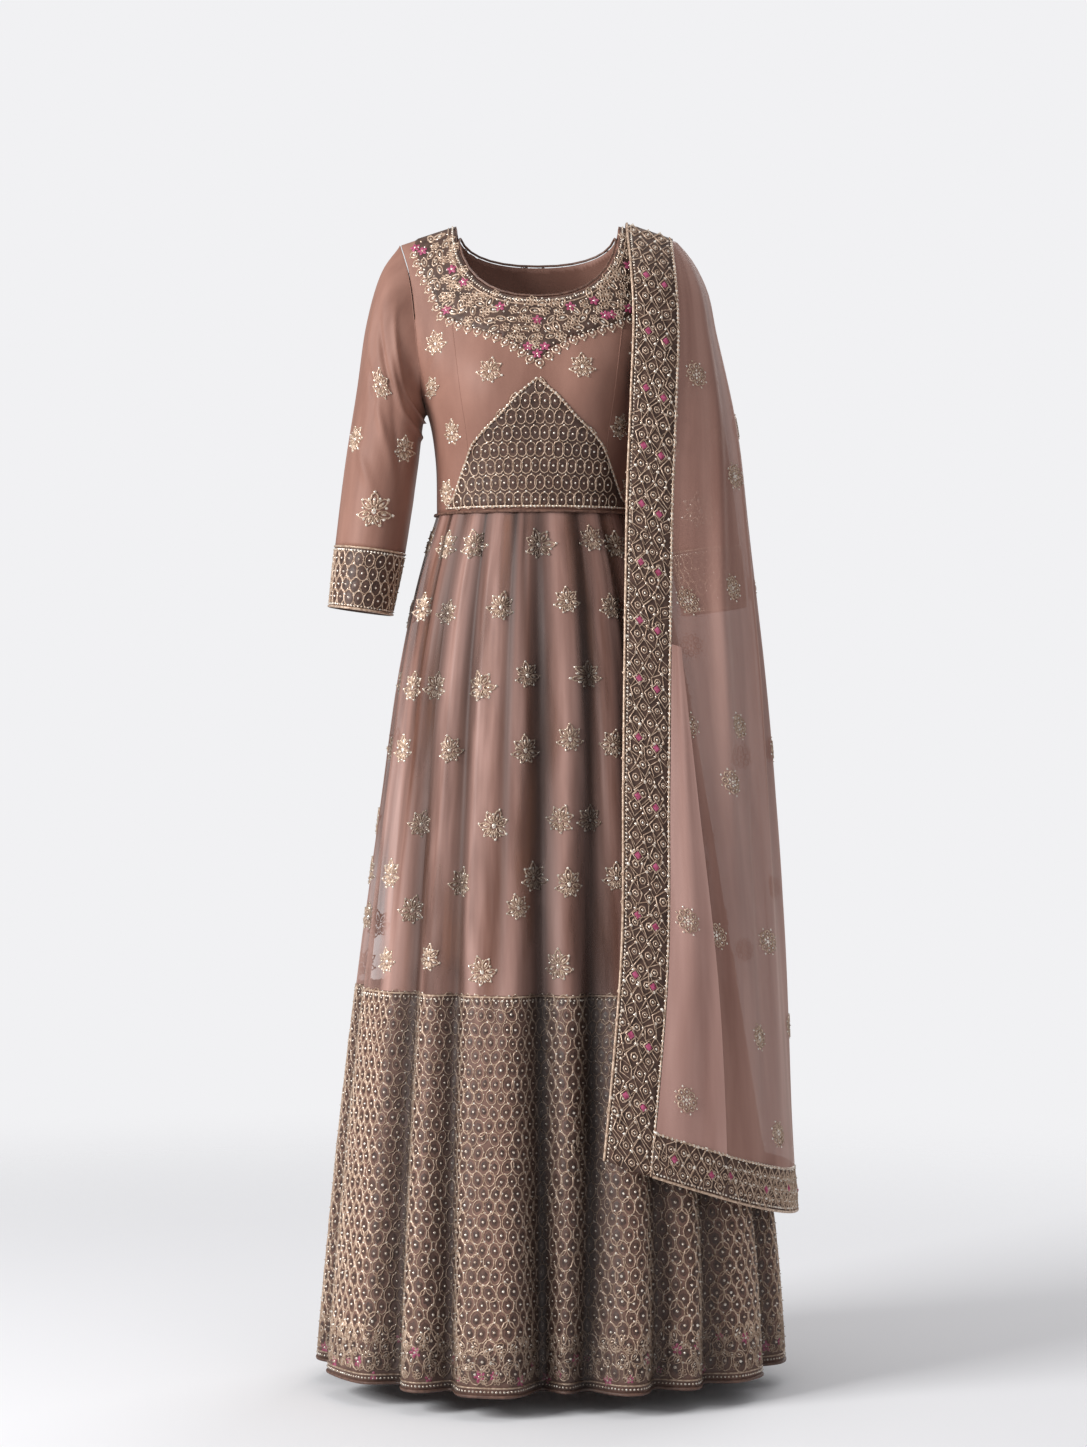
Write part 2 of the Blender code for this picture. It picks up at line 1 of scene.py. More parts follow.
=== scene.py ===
# %% [markdown]
# # An anarkali gown with its attached dupatta
# The gown is a fitted bodice with long sleeves, a full skirt that hangs in deep folds from the
# waist seam, and a sheer dupatta that falls from the left shoulder. Net in a dusty mauve lies
# over copper satin, and its borders are worked all over in pale gold thread and beads.
# The CAD model is loaded first as a fixed frame. Each thin shell below repeats the formulas of
# its solids with many more points, so the folds run smoothly and the embroidery follows them.
from math import cos, pi, radians, sin

import bmesh
import bpy
import numpy as np
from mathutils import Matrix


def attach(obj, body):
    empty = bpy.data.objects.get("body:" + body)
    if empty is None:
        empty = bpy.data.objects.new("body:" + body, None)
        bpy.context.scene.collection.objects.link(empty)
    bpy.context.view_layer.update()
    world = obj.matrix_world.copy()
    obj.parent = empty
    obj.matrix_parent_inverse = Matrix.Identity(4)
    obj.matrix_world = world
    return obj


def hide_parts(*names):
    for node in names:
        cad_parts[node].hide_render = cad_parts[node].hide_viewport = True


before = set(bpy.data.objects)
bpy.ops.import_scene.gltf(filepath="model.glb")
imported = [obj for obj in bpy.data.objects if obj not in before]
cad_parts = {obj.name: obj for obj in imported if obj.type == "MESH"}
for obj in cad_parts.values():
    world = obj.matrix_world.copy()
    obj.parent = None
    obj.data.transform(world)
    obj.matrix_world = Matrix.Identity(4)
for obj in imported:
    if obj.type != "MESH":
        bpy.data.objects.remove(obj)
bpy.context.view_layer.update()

rng = np.random.default_rng(7)

# %% [markdown]
# ## Finishes
# A material is a chain of small nodes. One function adds a node with its settings and links,
# and one turns the sRGB hex of a dye or a thread into the linear colour a shader works in.
# Cloth patterns read the piece's own UV map, which is in metres along the cloth, so a thread
# count in millimetres becomes a pattern scale.

# %% Node and colour helpers
def linear(colour):
    """The linear colour of an sRGB hex value."""
    channels = [int(colour[i:i + 2], 16) / 255 for i in (0, 2, 4)]
    return (*[((c + 0.055) / 1.055) ** 2.4 for c in channels], 1.0)


def add(tree, kind, settings=None, **inputs):
    """A node with its settings; an input is a value, or the socket that feeds it."""
    node = tree.nodes.new(kind)
    for name, value in (settings or {}).items():
        setattr(node, name, value)
    for name, value in inputs.items():
        key = int(name[1:]) if name[1:].isdigit() else name.replace("_", " ")
        if isinstance(value, bpy.types.NodeSocket):
            tree.links.new(value, node.inputs[key])
        else:
            node.inputs[key].default_value = value
    return node


def finish(name, **sockets):
    """A new material with the shader's plain values set. Returns it, its nodes and the shader."""
    mat = bpy.data.materials.new(name)
    mat.use_nodes = True
    shader = mat.node_tree.nodes["Principled BSDF"]
    for key, value in sockets.items():
        shader.inputs[key.replace("_", " ")].default_value = value
    return mat, mat.node_tree, shader


def between(tree, amount, low, high):
    """A colour that runs from one dye to another by an amount from 0 to 1."""
    ramp = add(tree, "ShaderNodeValToRGB", s0=amount)
    ramp.color_ramp.elements[0].color = linear(low)
    ramp.color_ramp.elements[1].color = linear(high)
    return ramp


def painted_fold_shade(tree, colour, dark, most):
    """A colour darkened by painted shade in the folds, as far as each point's fold attribute says.
    """
    fold = add(tree, "ShaderNodeAttribute", {"attribute_name": "fold"})
    amount = add(tree, "ShaderNodeMath", {"operation": "MULTIPLY"}, s0=fold.outputs["Fac"], s1=most)
    return add(tree, "ShaderNodeMix", {"data_type": "RGBA"}, s0=amount.outputs[0], s6=colour,
               s7=linear(dark)).outputs[2]

# %% [markdown]
# ### Cloths
# The bodice and sleeves are fine net laid over satin: smooth, with a soft sheen and a faint
# mottling. The skirt's net is sheer, so the copper satin shows through where it hangs close,
# and long streaks run down it where its threads gather. The real mesh holes are 0.8 mm, too
# fine to show, so the weave is drawn at 2 mm.

# %% The cloths
WEAVE = 0.002


def cloth_finish(name, low, high, roughness, sheen, alpha=1.0, streak=(60.0, 5.0), bump=0.15,
                 dark="2A1710", glimpses=0.0):
    """A dyed cloth: long streaks of two tones, painted shade in its folds, a fine weave in the
    bump, and a soft sheen.
    """
    mat, tree, shader = finish(name, Roughness=roughness, Sheen_Weight=sheen, Sheen_Roughness=0.4,
                               Alpha=alpha, IOR=1.46)
    shader.inputs["Sheen Tint"].default_value = linear("E8CFC0")
    uv = add(tree, "ShaderNodeUVMap", {"uv_map": "flat"})
    along = add(tree, "ShaderNodeMapping", s0=uv.outputs[0], Scale=(*streak, 1.0))
    tone = add(tree, "ShaderNodeTexNoise", Vector=along.outputs[0], Scale=1.0, Detail=4.0)
    ramp = between(tree, tone.outputs["Fac"], low, high)
    ramp.color_ramp.elements[0].position = 0.32
    ramp.color_ramp.elements[1].position = 0.68
    # Painted shade: the colour runs towards the dark dye where the fold attribute is high, deepest
    # in the skirt's troughs.
    deep = painted_fold_shade(tree, ramp.outputs[0], dark, 0.95)
    tree.links.new(deep, shader.inputs["Base Color"])
    if glimpses:
        veil = add(tree, "ShaderNodeMapping", s0=uv.outputs[0], Scale=(24.0, 3.2, 1.0))
        close = add(tree, "ShaderNodeTexNoise", Vector=veil.outputs[0], Scale=1.0, Detail=3.0)
        cover = add(tree, "ShaderNodeMapRange", s0=close.outputs["Fac"], s1=0.38, s2=0.54,
                    s3=alpha - glimpses, s4=alpha)
        tree.links.new(cover.outputs[0], shader.inputs["Alpha"])
    threads = add(tree, "ShaderNodeTexVoronoi", Vector=uv.outputs[0], Scale=1 / WEAVE)
    relief = add(tree, "ShaderNodeBump", Strength=bump, Distance=0.0003,
                 Height=threads.outputs["Distance"])
    tree.links.new(relief.outputs[0], shader.inputs["Normal"])
    return mat


# Net over satin: polyester net on viscose satin, piece-dyed, which gives a smooth low gloss
body_cloth = cloth_finish("mauve_net_over_satin", "855D4F", "9C7263", 0.62, 0.18, streak=(24, 9))
# Sheer net: fine nylon net, so light passes through it, and painted shade darkens its folds
skirt_net = cloth_finish("sheer_mauve_net", "7C5345", "CCA296", 0.55, 0.3, alpha=0.82,
                         streak=(34, 2.4), glimpses=0.45)
dupatta_net = cloth_finish("sheer_dupatta_net", "93675A", "C29587", 0.6, 0.25, alpha=0.78,
                           streak=(22, 2))
# Where the dupatta folds back on itself two layers lie together, denser and paler
folded_net = cloth_finish("folded_dupatta_net", "996E62", "CFA59A", 0.6, 0.3, alpha=0.93,
                          streak=(22, 2))
# Copper satin: warp-faced viscose satin, glossier down its length than across
lining_satin = cloth_finish("copper_satin", "5E3522", "A86C48", 0.34, 0.1, streak=(60, 4))
# Border ground: the same net doubled, darker under its thread work, with a deeper painted shade in
# its folds
border_ground = cloth_finish("doubled_mauve_net", "5E4338", "7E5D51", 0.6, 0.15, streak=(80, 30),
                             dark="170D09")
# Trim ground: the yoke, waist panel, cuffs and dupatta borders are worked on a darker net
trim_ground = cloth_finish("dark_trim_net", "3D2A22", "5E453A", 0.6, 0.1, streak=(80, 60))

# %% [markdown]
# ### Threads and beads
# The embroidery is zari, a flat metal strip wound on a silk core, so it is half metallic and
# catches the light unevenly. Cut-glass beads sit at the heart of each cell, and the flowers are
# rose silk.

# %% The threads and beads
def thread_finish(name, low, high, metallic, roughness):
    """A thread or bead: two tones by a fine noise over the object, darkened by painted shade in the
    folds.
    """
    mat, tree, shader = finish(name, Metallic=metallic, Roughness=roughness)
    place = add(tree, "ShaderNodeTexCoord")
    tone = add(tree, "ShaderNodeTexNoise", Vector=place.outputs["Object"], Scale=260.0, Detail=2.0)
    ramp = between(tree, tone.outputs["Fac"], low, high)
    ramp.color_ramp.elements[0].position = 0.35
    ramp.color_ramp.elements[1].position = 0.65
    # Painted shade: threads and beads darken towards 24160F where the fold attribute is high.
    deep = painted_fold_shade(tree, ramp.outputs[0], "24160F", 0.9)
    tree.links.new(deep, shader.inputs["Base Color"])
    grain = add(tree, "ShaderNodeTexNoise", Vector=place.outputs["Object"], Scale=1600.0)
    relief = add(tree, "ShaderNodeBump", Strength=0.3, Distance=0.0002, Height=grain.outputs["Fac"])
    tree.links.new(relief.outputs[0], shader.inputs["Normal"])
    return mat


zari = thread_finish("zari_thread", "A2846E", "DCC2AB", 0.25, 0.38)
glass = thread_finish("cut_glass_beads", "C2A78F", "FFF8EC", 0.35, 0.14)
rose_silk = thread_finish("rose_silk", "8E2C4C", "C05A80", 0.0, 0.45)
piping_cord = thread_finish("piping_cord", "5C4035", "805E4F", 0.0, 0.55)
# Painted shadow: the flat dark patch inside each lattice cell, where the gaps between cords look
# dark.
painted_shadow_patch = thread_finish("painted_shadow_patch", "3A261E", "5E4236", 0.0, 0.5)
THREADS = (zari, glass, rose_silk, painted_shadow_patch)
print("finishes", len(bpy.data.materials))

# %% [markdown]
# ## The cut
# These tables give the sections of the gown, the same as its CAD solids have. A smooth curve
# runs through each column. Lengths are in metres, with +Z up, the front facing -Y and the
# origin between the neck points of the shoulder seams.

# %% The tables
WAIST, BORDER_TOP, HEM, LINING_HEM = -0.350, -0.917, -1.372, -1.335
NECK_X, SHOULDER_SLOPE, FRONT_NECK, BACK_NECK, NECK_SQUARE = 0.098, 0.35, 0.096, 0.040, 2.35
UNDERARM = 0.80           # row of the bodice where the armhole ends


def table(names, *rows):
    """A short table as a dictionary of columns."""
    return dict(zip(names.split(), np.array(rows, float).T))


TORSO = table(
    "row half_width front back square",
    (0.00, 0.200, 0.000, 0.000, 2.5), (0.10, 0.199, 0.016, 0.018, 2.5),
    (0.20, 0.197, 0.031, 0.036, 2.5), (0.35, 0.191, 0.054, 0.062, 2.5),
    (0.50, 0.183, 0.076, 0.081, 2.5), (0.65, 0.165, 0.104, 0.093, 2.5),
    (0.73, 0.149, 0.122, 0.097, 2.5), (0.80, 0.1335, 0.128, 0.096, 2.4),
    (0.90, 0.1235, 0.108, 0.089, 2.2), (1.00, 0.1220, 0.095, 0.085, 2.0),
)
ARMHOLE = table(
    "row x",
    (0.00, 0.1670), (0.10, 0.1660), (0.20, 0.1630), (0.35, 0.1560),
    (0.50, 0.1495), (0.65, 0.1440), (0.73, 0.1395), (0.80, 0.1330),
)
PRINCESS = table(
    "row x",
    (0.00, 0.114), (0.35, 0.110), (0.65, 0.099), (0.78, 0.091), (0.88, 0.083), (1.00, 0.078),
)
SKIRT = table(
    "z left right front back",
    (-1.372, 0.268, 0.300, 0.246, 0.252), (-1.210, 0.253, 0.287, 0.230, 0.236),
    (-1.068, 0.2385, 0.265, 0.212, 0.218), (-0.917, 0.2205, 0.240, 0.192, 0.197),
    (-0.694, 0.191, 0.203, 0.163, 0.163), (-0.523, 0.166, 0.172, 0.137, 0.134),
    (-0.415, 0.142, 0.145, 0.114, 0.108), (-0.350, 0.1225, 0.1225, 0.0955, 0.0855),
)
TROUGHS = table(
    "waist hem depth width",
    (-46, -42.5, 0.030, 4.6), (-30, -25.0, 0.030, 3.8), (0.5, 1.5, 0.052, 5.0),
    (22, 12.5, 0.044, 5.0), (38, 30.5, 0.030, 4.2), (54, 45.5, 0.026, 4.6),
    (76, 73, 0.036, 6.0), (106, 104, 0.030, 5.6), (133, 135, 0.040, 6.0),
    (160, 162, 0.026, 4.8), (190, 191, 0.044, 5.6), (218, 219, 0.030, 5.2),
    (247, 249, 0.038, 6.2), (279, 281, 0.030, 5.6),
)
SLEEVE = table(
    "step outer_x outer_z inner_x inner_z half_depth forward",
    (1, 0.1900, -0.058, 0.1350, -0.2290, 0.059, 0.003),
    (2, 0.2075, -0.120, 0.1375, -0.2350, 0.064, 0.004),
    (3, 0.2190, -0.200, 0.1400, -0.2500, 0.064, 0.005),
    (4, 0.2330, -0.290, 0.1455, -0.2980, 0.060, 0.008),
    (5, 0.2446, -0.387, 0.1600, -0.3970, 0.055, 0.013),
    (6, 0.2520, -0.461, 0.1755, -0.4715, 0.050, 0.018),
)
CUFF_STEP = 5
DUPATTA = table(
    "row inner outer front back",
    (0.00, 0.1070, 0.1690, 0.012, 0.014), (0.02, 0.1075, 0.1890, 0.044, 0.046),
    (0.05, 0.1100, 0.2080, 0.072, 0.074), (0.10, 0.1130, 0.2215, 0.091, 0.089),
    (0.20, 0.1095, 0.2470, 0.113, 0.102), (0.30, 0.1050, 0.2600, 0.118, 0.104),
    (0.40, 0.1030, 0.2710, 0.124, 0.112), (0.60, 0.0995, 0.2870, 0.158, 0.160),
    (0.80, 0.0960, 0.3030, 0.188, 0.198), (0.90, 0.0870, 0.3100, 0.206, 0.214),
    (1.00, 0.0760, 0.3190, 0.222, 0.232),
)
YOKE_EDGE = table(
    "x z",
    (0.000, -0.177), (0.022, -0.158), (0.050, -0.142), (0.085, -0.130),
    (0.112, -0.117), (0.125, -0.086), (0.137, -0.062), (0.148, -0.030),
)
BACK_YOKE_EDGE = table(
    "x z",
    (0.000, -0.088), (0.040, -0.085), (0.080, -0.074), (0.110, -0.058), (0.132, -0.034),
    (0.140, -0.022),
)
ARCH = table(
    "x z",
    (0.000, -0.196), (0.023, -0.215), (0.045, -0.239), (0.062, -0.254),
    (0.076, -0.270), (0.090, -0.305), (0.099, -0.331), (0.108, -0.344),
)

# %% [markdown]
# ## A cloth as a dense net of points
# Every cloth here is a surface with columns across it and rows down it. Keeping its points and
# outward normals in one small class lets the same net serve three jobs: it shapes a grid into
# the cloth, it says how big a column is in metres, and it carries flat thread work on to the
# folds, because a point between four others is a simple blend of them.

# %% Curves and the cloth class
def curve(rows, column, at):
    """Smooth values of a column at values of the table's first column."""
    x, y = rows[next(iter(rows))], rows[column]
    slope = np.gradient(y, x)
    at = np.clip(at, x[0], x[-1])
    i = np.clip(np.searchsorted(x, at) - 1, 0, len(x) - 2)
    width = x[i + 1] - x[i]
    t = (at - x[i]) / width
    ends = (1 + 2 * t) * (1 - t) ** 2 * y[i] + t * t * (3 - 2 * t) * y[i + 1]
    return ends + width * (t * (1 - t) ** 2 * slope[i] - t * t * (1 - t) * slope[i + 1])


def unit(vectors):
    """The same vectors, each of length one."""
    return vectors / np.maximum(np.linalg.norm(vectors, axis=-1, keepdims=True), 1e-12)


def run_length(line):
    """The length along a line at each of its points, from 0."""
    return np.concatenate(([0], np.cumsum(np.linalg.norm(np.diff(line, axis=0), axis=-1))))


def heading(line, closed):
    """The step from point to point along a line; the end of a closed one meets its start."""
    if closed:
        return np.gradient(np.vstack((line[-2:-1], line, line[1:2])), axis=0)[1:-1]
    return np.gradient(line, axis=0)


def linked(name, data):
    """A new object in the scene."""
    thing = bpy.data.objects.new(name, data)
    bpy.context.collection.objects.link(thing)
    return thing


class Cloth:
    """A net of points, columns to the right and rows down, as seen from outside."""

    def __init__(self, points, closed=False):
        self.points, self.closed = points, closed
        if closed:
            right = (np.roll(points, -1, 0) - np.roll(points, 1, 0)) / 2
        else:
            right = np.gradient(points, axis=0)
        down = np.gradient(points, axis=1)
        self.normals = unit(np.cross(right, -down))
        self.wide = np.linalg.norm(right, axis=-1)
        self.high = np.linalg.norm(down, axis=-1)
        self.columns, self.rows = points.shape[:2]

    def blend(self, values, i, j):
        """Values of the net at any columns i and rows j."""
        last = self.rows - 2
        j0 = np.clip(np.floor(j).astype(int), 0, last)
        i0 = np.floor(i).astype(int)
        if not self.closed:
            i0 = np.clip(i0, 0, self.columns - 2)
        fi, fj = (i - i0), (j - j0)
        if values.ndim == 3:
            fi, fj = fi[..., None], fj[..., None]
        a, b = i0 % self.columns, (i0 + 1) % self.columns
        upper = values[a, j0] * (1 - fi) + values[b, j0] * fi
        lower = values[a, j0 + 1] * (1 - fi) + values[b, j0 + 1] * fi
        return upper * (1 - fj) + lower * fj

    def at(self, i, j, height=0.0):
        """Points at columns i and rows j, moved out by a height."""
        i, j = np.asarray(i, float), np.asarray(j, float)
        out = unit(self.blend(self.normals, i, j))
        return self.blend(self.points, i, j) + out * np.asarray(height)[..., None]

    def size_at(self, i, j):
        """The width of a column and the height of a row there, in metres."""
        i, j = np.asarray(i, float), np.asarray(j, float)
        inside = np.clip(j, 0, self.rows - 1)
        i = i if self.closed else np.clip(i, 0, self.columns - 1)
        return self.blend(self.wide, i, inside), self.blend(self.high, i, inside)


# %% A grid shaped into a cloth
def shell(name, cloth, mat, thickness=0.0, lift=0.0, every=(1, 1), trim=None, shade=None):
    """A flat grid laid over a cloth's points. Its UV map `flat` is in metres along the cloth."""
    i_all = np.arange(0, cloth.columns + cloth.closed, every[0])
    j_all = np.arange(0, cloth.rows, every[1])
    if not cloth.closed and i_all[-1] != cloth.columns - 1:
        i_all = np.append(i_all, cloth.columns - 1)
    if cloth.closed and i_all[-1] != cloth.columns:
        i_all = np.append(i_all, cloth.columns)
    if j_all[-1] != cloth.rows - 1:
        j_all = np.append(j_all, cloth.rows - 1)
    grid = bmesh.new()
    bmesh.ops.create_grid(grid, x_segments=len(i_all) - 1, y_segments=len(j_all) - 1, size=1)
    places = np.array([v.co for v in grid.verts])
    a = np.rint((places[:, 0] + 1) / 2 * (len(i_all) - 1)).astype(int)
    b = np.rint((1 - places[:, 1]) / 2 * (len(j_all) - 1)).astype(int)
    i, j = i_all[a] % cloth.columns, j_all[b]
    points = cloth.points[i, j] + cloth.normals[i, j] * lift
    flat = np.stack((i_all[a] * cloth.wide.mean(), -j * cloth.high.mean()), -1)
    for v, p in zip(grid.verts, points):
        v.co = p
    # Painted shade: each point's fold attribute, which darkens its colour in the folds.
    if shade is not None:
        fold = grid.verts.layers.float.new("fold")
        for v, value in zip(grid.verts, shade(points)):
            v[fold] = value
    layer = grid.loops.layers.uv.new("flat")
    for face in grid.faces:
        for loop in face.loops:
            loop[layer].uv = flat[loop.vert.index]
    if trim is not None:
        trim(grid, lift)
    bmesh.ops.remove_doubles(grid, verts=grid.verts, dist=1e-6)
    mesh = bpy.data.meshes.new(name)
    grid.to_mesh(mesh)
    grid.free()
    mesh.shade_smooth()
    piece = linked(name, mesh)
    piece.data.materials.append(mat)
    if thickness:
        wall = piece.modifiers.new("wall", "SOLIDIFY")
        wall.thickness, wall.offset = thickness, -1.0
    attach(piece, "root")
    print(name, len(mesh.polygons), "faces")
    return piece

# %% [markdown]
# ## Thread work
# A motif is drawn flat once: low ridges of thread, small beads and petals, each from a bmesh
# shape. Copies are then joined into one mesh from arrays, because thousands of small pieces
# would be slow as objects. Each point of a copy is carried on to the cloth on its own, so the
# work bends over the folds as real embroidery does.

# %% Flat motifs from small shapes
def shape_of(grid, kind):
    """A flat shape as arrays of points, triangles and the thread that each triangle takes."""
    bmesh.ops.triangulate(grid, faces=grid.faces)
    points = np.array([v.co for v in grid.verts])
    faces = np.array([[v.index for v in f.verts] for f in grid.faces])
    grid.free()
    return points, faces, np.full(len(faces), kind)


def together(*shapes):
    """Several shapes as one."""
    starts = np.cumsum([0] + [len(s[0]) for s in shapes[:-1]])
    return (np.concatenate([s[0] for s in shapes]),
            np.concatenate([s[1] + start for s, start in zip(shapes, starts)]),
            np.concatenate([s[2] for s in shapes]))


def moved(shape, x=0.0, y=0.0, turn=0.0, scale=1.0):
    """A shape scaled, turned by degrees and moved in its plane."""
    points, faces, kinds = shape
    c, s = cos(radians(turn)), sin(radians(turn))
    turned = points * scale @ np.array(((c, s, 0), (-s, c, 0), (0, 0, 1)))
    return turned + (x, y, 0), faces, kinds


def cord(path, width=0.0013, height=0.0009, kind=0, closed=False):
    """A low ridge of couched thread along a flat path."""
    path = np.array(path, float)
    if closed:
        path = np.vstack((path, path[:1]))
    ahead = unit(heading(path, closed))
    side = np.stack((-ahead[:, 1], ahead[:, 0]), -1)
    grid = bmesh.new()
    bmesh.ops.create_grid(grid, x_segments=len(path) - 1, y_segments=2, size=1)
    for v in grid.verts:
        i, across = round((v.co.x + 1) / 2 * (len(path) - 1)), v.co.y
        x, y = path[i] + side[i] * across * width / 2
        v.co = (x, y, height * (1 - abs(across)))
    bmesh.ops.remove_doubles(grid, verts=grid.verts, dist=1e-6)
    grid.verts.index_update()
    return shape_of(grid, kind)


def dome(width, length=None, height=0.0012, sides=5, kind=1):
    """A bead or a petal: a low cone, which smooth shading rounds off."""
    grid = bmesh.new()
    bmesh.ops.create_cone(grid, segments=sides, radius1=0.5, radius2=0.0, depth=1.0)
    bmesh.ops.scale(grid, vec=(width, length or width, height), verts=grid.verts)
    bmesh.ops.translate(grid, vec=(0, 0, height / 2), verts=grid.verts)
    base = [f for f in grid.faces if f.normal.z < -0.9]
    bmesh.ops.delete(grid, geom=base, context="FACES_ONLY")
    bmesh.ops.remove_doubles(grid, verts=grid.verts, dist=1e-7)
    grid.verts.index_update()
    return shape_of(grid, kind)


def loop(broad, tall, points=8, **ridge):
    """A pointed oval ring of thread."""
    turns = np.linspace(0, 2 * pi, points, endpoint=False)
    return cord(np.stack((np.sin(turns) * broad / 2, -np.cos(turns) * tall / 2), -1),
                closed=True, **ridge)


def petals(count, reach, petal, turn=0.0):
    """Copies of a petal round a centre, each pointing out."""
    step = 360 / count
    ring = []
    for n in range(count):
        angle = turn + n * step
        x, y = -sin(radians(angle)) * reach, cos(radians(angle)) * reach
        ring.append(moved(petal, x, y, angle))
    return together(*ring)


# %% Copies of a motif carried on to a cloth
def stamp(cloth, motif, i, j, scale=1.0, turn=0.0, lift=0.0):
    """Copies of a flat motif at columns i and rows j of a cloth, as one shape."""
    points, faces, kinds = motif
    i, j, scale, turn = np.broadcast_arrays(np.atleast_1d(i), j, scale, np.radians(turn))
    c, s = np.cos(turn)[:, None], np.sin(turn)[:, None]
    x, y = points[:, 0] * scale[:, None], points[:, 1] * scale[:, None]
    wide, high = cloth.size_at(i, j)
    wide, high = np.maximum(wide, cloth.wide.mean() / 2), np.maximum(high, cloth.high.mean() / 2)
    columns = i[:, None] + (x * c - y * s) / wide[:, None]
    rows = np.clip(j[:, None] - (x * s + y * c) / high[:, None], -0.4, cloth.rows - 0.6)
    if not cloth.closed:
        columns = np.clip(columns, -0.4, cloth.columns - 0.6)
    heights = points[:, 2] * scale[:, None] + lift
    placed = cloth.at(columns, rows, heights).reshape(-1, 3)
    starts = np.arange(len(i)) * len(points)
    return placed, (faces[None] + starts[:, None, None]).reshape(-1, 3), np.tile(kinds, len(i))


def joined(name, *shapes, slot="embroidery", shade=None):
    """One mesh from stamped shapes, with a material for each thread."""
    points, faces, kinds = together(*shapes)
    mesh = bpy.data.meshes.new(name)
    mesh.vertices.add(len(points))
    mesh.vertices.foreach_set("co", points.ravel())
    mesh.loops.add(faces.size)
    mesh.loops.foreach_set("vertex_index", faces.ravel())
    mesh.polygons.add(len(faces))
    mesh.polygons.foreach_set("loop_start", np.arange(len(faces)) * 3)
    for mat in THREADS:
        mesh.materials.append(mat)
    mesh.polygons.foreach_set("material_index", kinds)
    # Painted shade: each point's fold attribute, which darkens the threads in the folds.
    if shade is not None:
        mesh.attributes.new("fold", "FLOAT", "POINT").data.foreach_set("value", shade(points))
    mesh.update(calc_edges=True)
    mesh.validate()
    mesh.shade_smooth()
    piece = linked(name, mesh)
    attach(piece, "root")
    print(name, len(faces), "triangles")
    return piece

# %% [markdown]
# ## The bodice
# Front and back are each cut in panels joined by princess seams, and close over the body from
# the shoulder seam to the waist. One net of points covers each half, and the neck is cut out
# of the grid by dropping the faces above the neck curve and drawing the edge on to it.

# %% The surface of the torso
def ridge(x):
    """Height of the shoulder line over a point x from the centre."""
    soft = 0.05
    return -SHOULDER_SLOPE * (np.hypot(x, soft) - np.hypot(NECK_X, soft))


def torso(angle, row, side):
    """Points of the torso; side is -1 for the front and 1 for the back."""
    half = curve(TORSO, "half_width", row)
    x = half * np.sin(angle)
    z = ridge(x) + row ** 2 * (WAIST - ridge(x))
    square = curve(TORSO, "square", row)
    fall = np.sqrt(np.clip(1 - np.abs(np.sin(angle)) ** square, 0, 1))
    y = side * curve(TORSO, "front" if side < 0 else "back", row) * fall
    if side < 0:
        bust = np.exp(-((np.abs(x) - 0.070) / 0.040) ** 2 - ((z + 0.205) / 0.055) ** 2)
        y = y - 0.009 * bust * fall
    return np.stack((x, y, z), -1)


EDGE = table("row angle", *[
    (row, pi / 2 if row >= UNDERARM else
     np.arcsin(curve(ARMHOLE, "x", row) / curve(TORSO, "half_width", row)))
    for row in (0, 0.1, 0.2, 0.35, 0.5, 0.65, 0.73, UNDERARM, 0.9, 1)])


def edge_angle(row):
    """How far round a half reaches: to the armhole, and below it to the side seam."""
    angle = np.minimum(curve(EDGE, "angle", row), pi / 2)
    return np.where(np.asarray(row) >= UNDERARM, pi / 2, angle)


def share_angle(share, row):
    """How far round a share lies: 0 centre, 0.5 princess seam, 1 armhole or side seam."""
    seam = np.arcsin(curve(PRINCESS, "x", row) / curve(TORSO, "half_width", row))
    part = np.abs(share)
    inner = seam * np.minimum(part, 0.5) / 0.5
    outer = (edge_angle(row) - seam) * np.maximum(part - 0.5, 0) / 0.5
    return (inner + outer) * np.sign(share)


def torso_at(x, z, side):
    """The points of the torso behind places in the front view."""
    row = np.sqrt(np.maximum((ridge(x) - z) / (ridge(x) - WAIST), 1e-6))
    half = curve(TORSO, "half_width", np.minimum(row, 1.0))
    return torso(np.arcsin(np.clip(x / half, -1, 1)), row, side)


BODY_COLUMNS, BODY_ROWS = 121, 91
shares, rows = np.meshgrid(np.linspace(-1, 1, BODY_COLUMNS),
                           np.linspace(0, 1, BODY_ROWS) ** 0.8, indexing="ij")
front = Cloth(torso(share_angle(shares, rows), rows, -1))
back = Cloth(torso(share_angle(-shares, rows), rows, 1))
HALVES = {-1: front, 1: back}

# %% [markdown]
# A worn bodice is not quite smooth: it pulls softly from the bust to the armhole and eases above
# the waist. Each crease is listed with its own slant, length, width and height.

# %% Soft creases
def creased(cloth, creases):
    """The cloth with soft ridges and troughs, each at a share across and down."""
    i, j = np.indices((cloth.columns, cloth.rows))
    out = np.zeros(i.shape)
    wide, high = cloth.wide.mean(), cloth.high.mean()
    for across, down, slant, length, width, height in zip(*creases.values()):
        off = i / cloth.columns - across
        if cloth.closed:
            off = (off + 0.5) % 1 - 0.5
        x, y = off * cloth.columns * wide, (down - j / cloth.rows) * cloth.rows * high
        c, s = cos(radians(slant)), sin(radians(slant))
        out += height * np.exp(-((x * c - y * s) / width) ** 2 - ((x * s + y * c) / length) ** 2)
    return Cloth(cloth.points + cloth.normals * out[..., None], cloth.closed)


